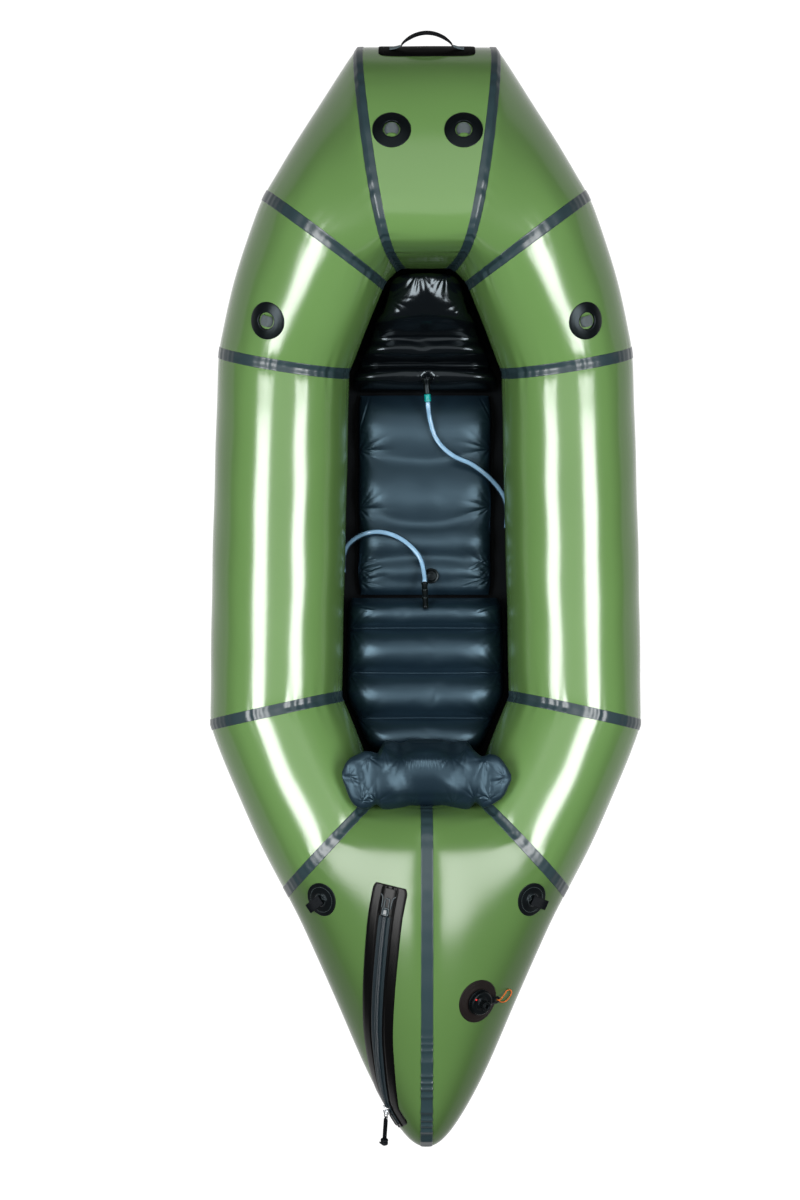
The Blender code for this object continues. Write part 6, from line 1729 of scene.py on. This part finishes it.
def make_slider(route):
    """The slider: a waisted plate, a rail down each side, the bridge, and the pull's ring."""
    origin, across, heading, out = route.circular(ZIP_REST_SHARE)
    roof = CHAIN_HEIGHT / 2 + 0.0004
    high, low = roof + SLIDER_WALL, 0.0016 - CHAIN_HEIGHT / 2
    cos, sin = circle(120)
    x = SLIDER_WIDTH / 2 * signed_power(cos, 0.55)
    y = SLIDER_LENGTH / 2 * signed_power(sin, 0.7)
    waist = 1 - 0.20 * np.clip(0.5 - y / SLIDER_LENGTH, 0, 1) ** 1.2
    levels = ((0.80, roof), (0.97, roof + 0.0001), (1.0, roof + 0.0005), (1.0, high - 0.0008),
              (0.97, high - 0.00025), (0.90, high), (0.60, high + 0.0002), (0.20, high + 0.0003))
    axes = (across, heading, out)
    grid_piece("slider_plate", layered(origin, axes, x * waist, y, levels), "metal",
               node="zip_slider", body="zip_slider")
    for side, sign in SIDES:
        run = np.linspace(-0.40, 0.40, 24)
        inner = CHAIN_WIDTH / 2 + RAIL_GAP + (SLIDER_WIDTH / 2 - CHAIN_WIDTH / 2 - RAIL_GAP) / 2
        line = (origin + across * sign * inner + heading * (run * SLIDER_LENGTH)[:, None]
                + out * ((high + low) / 2 - 0.0004))
        wall = strap_section(SLIDER_WIDTH / 2 - CHAIN_WIDTH / 2 - 0.0010, high - low - 0.0010)
        sweep(f"slider_rail_{side}", line, wall, "metal", side=across, up=out, body="zip_slider")
    arch = [origin + heading * along * 0.0142 / 2 + out * (high - 0.0006 + lift * 0.0056)
            for along, lift in ((-1.0, 0.0), (-0.98, 0.55), (-0.75, 0.95), (0.0, 1.02),
                                (0.75, 0.95), (0.98, 0.55), (1.0, 0.0))]
    sweep("slider_bridge", smooth_route(arch, 40), ring_section(0.0013), "metal", body="zip_slider")
    hinge = origin + out * (high + 0.0008 + FIT)
    place = way_axes(hinge, (0.10, 0.98, 0.17), axes)
    corner, half = RING_CORNER, (RING_WIDTH - RING_WIRE) / 2 - RING_CORNER
    far = RING_LENGTH - RING_WIRE
    line = []
    for cx, cy, start in ((half, far - corner, 0.0), (-half, far - corner, 90.0),
                          (-half, corner, 180.0), (half, corner, 270.0)):
        for degrees in np.linspace(0, 90, 9):
            turn = math.radians(start + degrees)
            line.append(place[0] + place[1] * (cx + corner * math.cos(turn))
                        + place[2] * (cy + corner * math.sin(turn)))
    sweep("pull_ring", np.array(line), ring_section(RING_DRAWN / 2, 12), "metal", closed=True,
          node="zip_pull_ring", body="zip_pull")
    eye = place[0] + place[2] * far
    place = way_axes(eye, (0.24, 0.95, 0.17), axes)
    make_pull(place)


def way_axes(origin, shares, axes):
    """A point and axes there: right, along the shares of the given axes, and up."""
    way = unit(sum(share * axis for share, axis in zip(shares, axes)))
    side = unit(np.cross(way, axes[2]))
    return origin, side, way, np.cross(side, way)


def make_pull(place):
    """The pull: webbing folded through the ring, knotted at its end, with a short tail."""
    origin, right, along, up = place

    def line_of(points):
        """Points of (right, along, up) from the pull's eye."""
        points = np.asarray(points, float)
        return origin + right * points[:, :1] + along * points[:, 1:2] + up * points[:, 2:]

    cos, sin = circle(48)
    run = (1 - cos) / 2
    rise = sin * 0.0003 + np.sign(sin) * (0.00075 + 0.0011 * bell(run, 0.06))
    rise = np.where(np.abs(sin) < 1e-6, 0.0, rise)
    line = line_of(np.stack((np.zeros(48), -0.0022 + run * 0.062, rise), axis=1))
    section = strap_sections(0.0040 + 0.0055 * np.clip((run - 0.03) / 0.08, 0, 1), 0.0014)
    sweep("pull_strap", line, section, "webbing", side=right, closed=True,
          node="zip_pull", body="zip_pull")
    # an overhand knot: one fat strand round the strap, and two crossing ones
    cos, sin = circle(40)
    for number, (lean, middle, wide, thick) in enumerate(((0.5, 0.0620, 0.0062, 0.0030),
                                                          (-0.6, 0.0665, 0.0058, 0.0032),
                                                          (0.1, 0.0705, 0.0048, 0.0028))):
        points = np.stack((wide * cos, middle + lean * 0.004 * cos, 0.0042 * sin), axis=1)
        sweep(f"pull_knot_{number}", line_of(points), ring_section(thick * 0.9),
              "webbing", closed=True, body="zip_pull")
    core = line_of([(0.0, y, 0.0) for y in np.linspace(0.0580, 0.0740, 12)])
    swell = np.sin(np.linspace(0.15, math.pi - 0.15, 12)) * 0.0048
    section = np.stack([ring_section(1.0) * (s * 1.15, s * 0.9) for s in swell])
    sweep("pull_knot_core", core, section, "webbing", side=right, up=up, body="zip_pull")
    tail = line_of([(0.0, 0.0690, 0.0), (0.0040, 0.0720, 0.0), (0.0075, 0.0752, 0.0005),
                    (0.0122, 0.0776, 0.0)])
    tail = smooth_route(tail, 20)
    sweep("pull_tail", tail, strap_section(0.0046, 0.0020), "webbing",
          side=unit(np.cross(tangents(tail)[0], up)), body="zip_pull")


# ---------------------------------------------------------------- the main valve
def make_valve():
    """The main valve: its welded flange, collar, cap with a ribbed knob, and tether."""
    spot = Spot(*VALVE_SPOT)
    place = (spot.point, spot.right, spot.forward, spot.out)
    top, seat_top = 0.0019, 0.0022
    profile = rounded(((0.0226, -0.0010), (0.0450, -0.0010), (0.0450, 0.0009), (0.0440, top),
                       (0.0400, top), (0.0394, top - 0.0004), (0.0388, top), (0.0320, top),
                       (0.0296, seat_top + 0.0001), (0.0262, seat_top), (0.0226, seat_top)),
                      0.0005, 3, closed=True)
    draped_turned("valve_skirt", spot, profile, "flange", ring=True, node="valve_flange")
    profile = rounded(((0.0183, -0.0180), (0.0220, -0.0180), (0.0220, 0.0025), (0.0260, 0.0025),
                       (0.0260, 0.0055), (0.0215, 0.0055), (0.0215, 0.0098), (0.0183, 0.0098)),
                      0.0006, 3, closed=True)
    turned("valve_collar", profile, place, "rubber", steps=96, ring=True, node="valve_body")
    low, high = 0.0075, 0.0155
    grip = high + 0.017
    profile = ((0.0216, low), (0.0240, low), (0.0240, high - 0.0012), (0.0226, high),
               (0.0150, high), (0.0142, high - 0.0007), (0.0132, high - 0.0007),
               (0.0124, high), (0.0104, high), (0.0090, high + 0.0014), (0.0088, grip - 0.0040),
               (0.0094, grip - 0.0026), (0.0094, grip - 0.0006), (0.0088, grip),
               (0.0056, grip), (0.0045, grip - 0.0010), (0.0045, grip - 0.0095))

    def ribs(angle, points):
        """Fine ribs round the cap's rim, and coarse ones round its knob."""
        radius, height = points[:, :1], points[:, 1:]
        rim = (radius > 0.0235) * (height > low + 0.0004) * (height < high - 0.0008)
        knob = (radius > 0.0080) * (radius < 0.0100) * (height > high + 0.001)
        knob = knob * (height < grip - 0.0030)
        return rim * 0.012 * np.cos(angle * 36) + knob * 0.055 * np.cos(angle * 14)

    turned("valve_lid", rounded(profile, 0.0005, 4), place, "rubber", steps=180,
           wave=ribs, node="valve_cap", body="valve_cap")
    dot = (place[0] - 0.0165 * place[1] + 0.0105 * place[2], *place[1:])
    profile = ((0.0021, high - 0.0004), (0.0021, high + 0.0005), (0.0016, high + 0.0009))
    turned("valve_mark", rounded(profile, 0.0003, 3), dot, "mark", steps=32, body="valve_cap")
    # the tether: a ring round the collar, and a tab with the eye that the cord runs through
    level, top = TETHER_LEVEL, TETHER_LEVEL + TETHER_WALL
    profile = rounded(((0.0218, level), (0.0266, level), (0.0266, top), (0.0218, top)),
                      0.0004, 3, closed=True)
    turned("tether_ring", profile, place, "rubber", steps=96, ring=True, node="valve_tether")
    make_tether_tab(spot)


def make_tether_tab(spot):
    """The tether's tab: from the ring out to a round end, with an eye."""
    tab, eye, hole = 0.0080, TETHER_EYE, TETHER_HOLE
    cos, sin = circle(96)
    # the outline seen from the eye: the round end ahead, two straight sides, the root behind
    reach = np.where(cos > 0, tab, np.minimum(tab / np.maximum(np.abs(sin), 1e-6),
                                              0.0175 / np.maximum(-cos, 1e-6)))
    rows = []
    for share, height in ((0.0, 0.0003), (0.04, 0.0), (0.96, 0.0), (1.0, 0.0003), (1.0, 0.0011),
                          (0.97, TETHER_WALL), (0.06, TETHER_WALL), (0.0, 0.0011)):
        radius = hole + (reach - hole) * share
        droop = 0.0012 * np.clip((eye + radius * cos - 0.027) / 0.023, 0, 1) ** 2
        rows.append(spot.place(eye + radius * cos, radius * sin, TETHER_LEVEL + height - droop))
    grid_piece("tether_tab", rows, "rubber", "ring")


# ---------------------------------------------------------------- barbs and necks
def hose_axes(route):
    """The mouth of a hose and the axes of the fitting that it is pushed on."""
    route = np.array(route)
    back = unit(route[0] - route[1])
    side = unit(np.cross(back, (0.0, 0.0, 1.0)))
    return route[0] + back * FIT, side, np.cross(back, side), back


def make_barbs():
    """The teal barb and black neck of the brace's valve, and the seat's valve and stem."""
    place = hose_axes(HOSE_ROUTES["foot_brace_hose"])
    profile = ((0.0050, 0.0), (0.0064, 0.0), (0.0072, 0.0010), (0.0072, 0.0036), (0.0064, 0.0042),
               (0.0064, 0.0058), (0.0072, 0.0064), (0.0072, 0.0094), (0.0064, 0.0100),
               (0.0064, 0.0116), (0.0072, 0.0122), (0.0072, 0.0142), (0.0060, 0.0160))
    turned("brace_barb", rounded(profile, 0.0004, 3), place, "teal", node="foot_brace_barb")
    point, side, other, back = place
    neck = (point + back * (0.016 + FIT), side, other, back)
    profile = ((0.0056, 0.0), (0.0060, 0.0008), (0.0057, 0.0016), (0.0054, 0.0100),
               (0.0054, 0.0190), (0.0060, 0.0240), (0.0072, 0.0300), (0.0080, 0.0338))
    profile = [(1.35 * radius, height) for radius, height in profile]
    turned("brace_neck", rounded(profile, 0.0006, 3), neck, "rubber", node="foot_brace_neck")
    place = hose_axes(HOSE_ROUTES["seat_hose"])
    profile = ((0.0046, 0.0), (0.0060, 0.0), (0.0060, 0.0030), (0.0052, 0.0038), (0.0052, 0.0150),
               (0.0056, 0.0165), (0.0056, 0.0185), (0.0050, 0.0200), (0.0048, 0.0330),
               (0.0056, 0.0345), (0.0056, 0.0365), (0.0048, 0.0380), (0.0050, 0.0560),
               (0.0044, 0.0598))
    profile = [(1.3 * radius, height) for radius, height in profile]
    turned("seat_stem", rounded(profile, 0.0006, 3), place, "rubber", node="seat_valve_stem")
    top = floor_top(0.0) + 2 * FIT + 0.052
    axes = (np.array((0.014, 0.0532, top - 0.0004)), np.array((1.0, 0.0, 0.0)),
            np.array((0.0, 1.0, 0.0)), np.array((0.0, 0.0, 1.0)))
    profile = ((0.0170, -0.0200), (0.0170, -0.0042), (0.0160, -0.0032), (0.0128, -0.0024),
               (0.0110, -0.0010), (0.0102, 0.0), (0.0060, 0.0002), (0.0052, -0.0006),
               (0.0020, -0.0006))
    turned("seat_valve_button", rounded(profile, 0.0008, 3), axes, "rubber", node="seat_valve_base")


make_lash_tabs()
for loop_side, _ in SIDES:
    make_stern_loop(loop_side)
make_bow_handle()
make_zip()
make_valve()
make_barbs()


# ---------------------------------------------------------------- closing
# Pieces that are still the part's own, such as the valve's poppet, take the finishes above
for node, found in frame["nodes"].items():
    slot = next(s["material_slot"] for s in frame["record"]["subparts"] if s["node"] == node)
    found.data.materials.clear()
    found.data.materials.append(FINISHES[CAD_FINISHES[slot]])
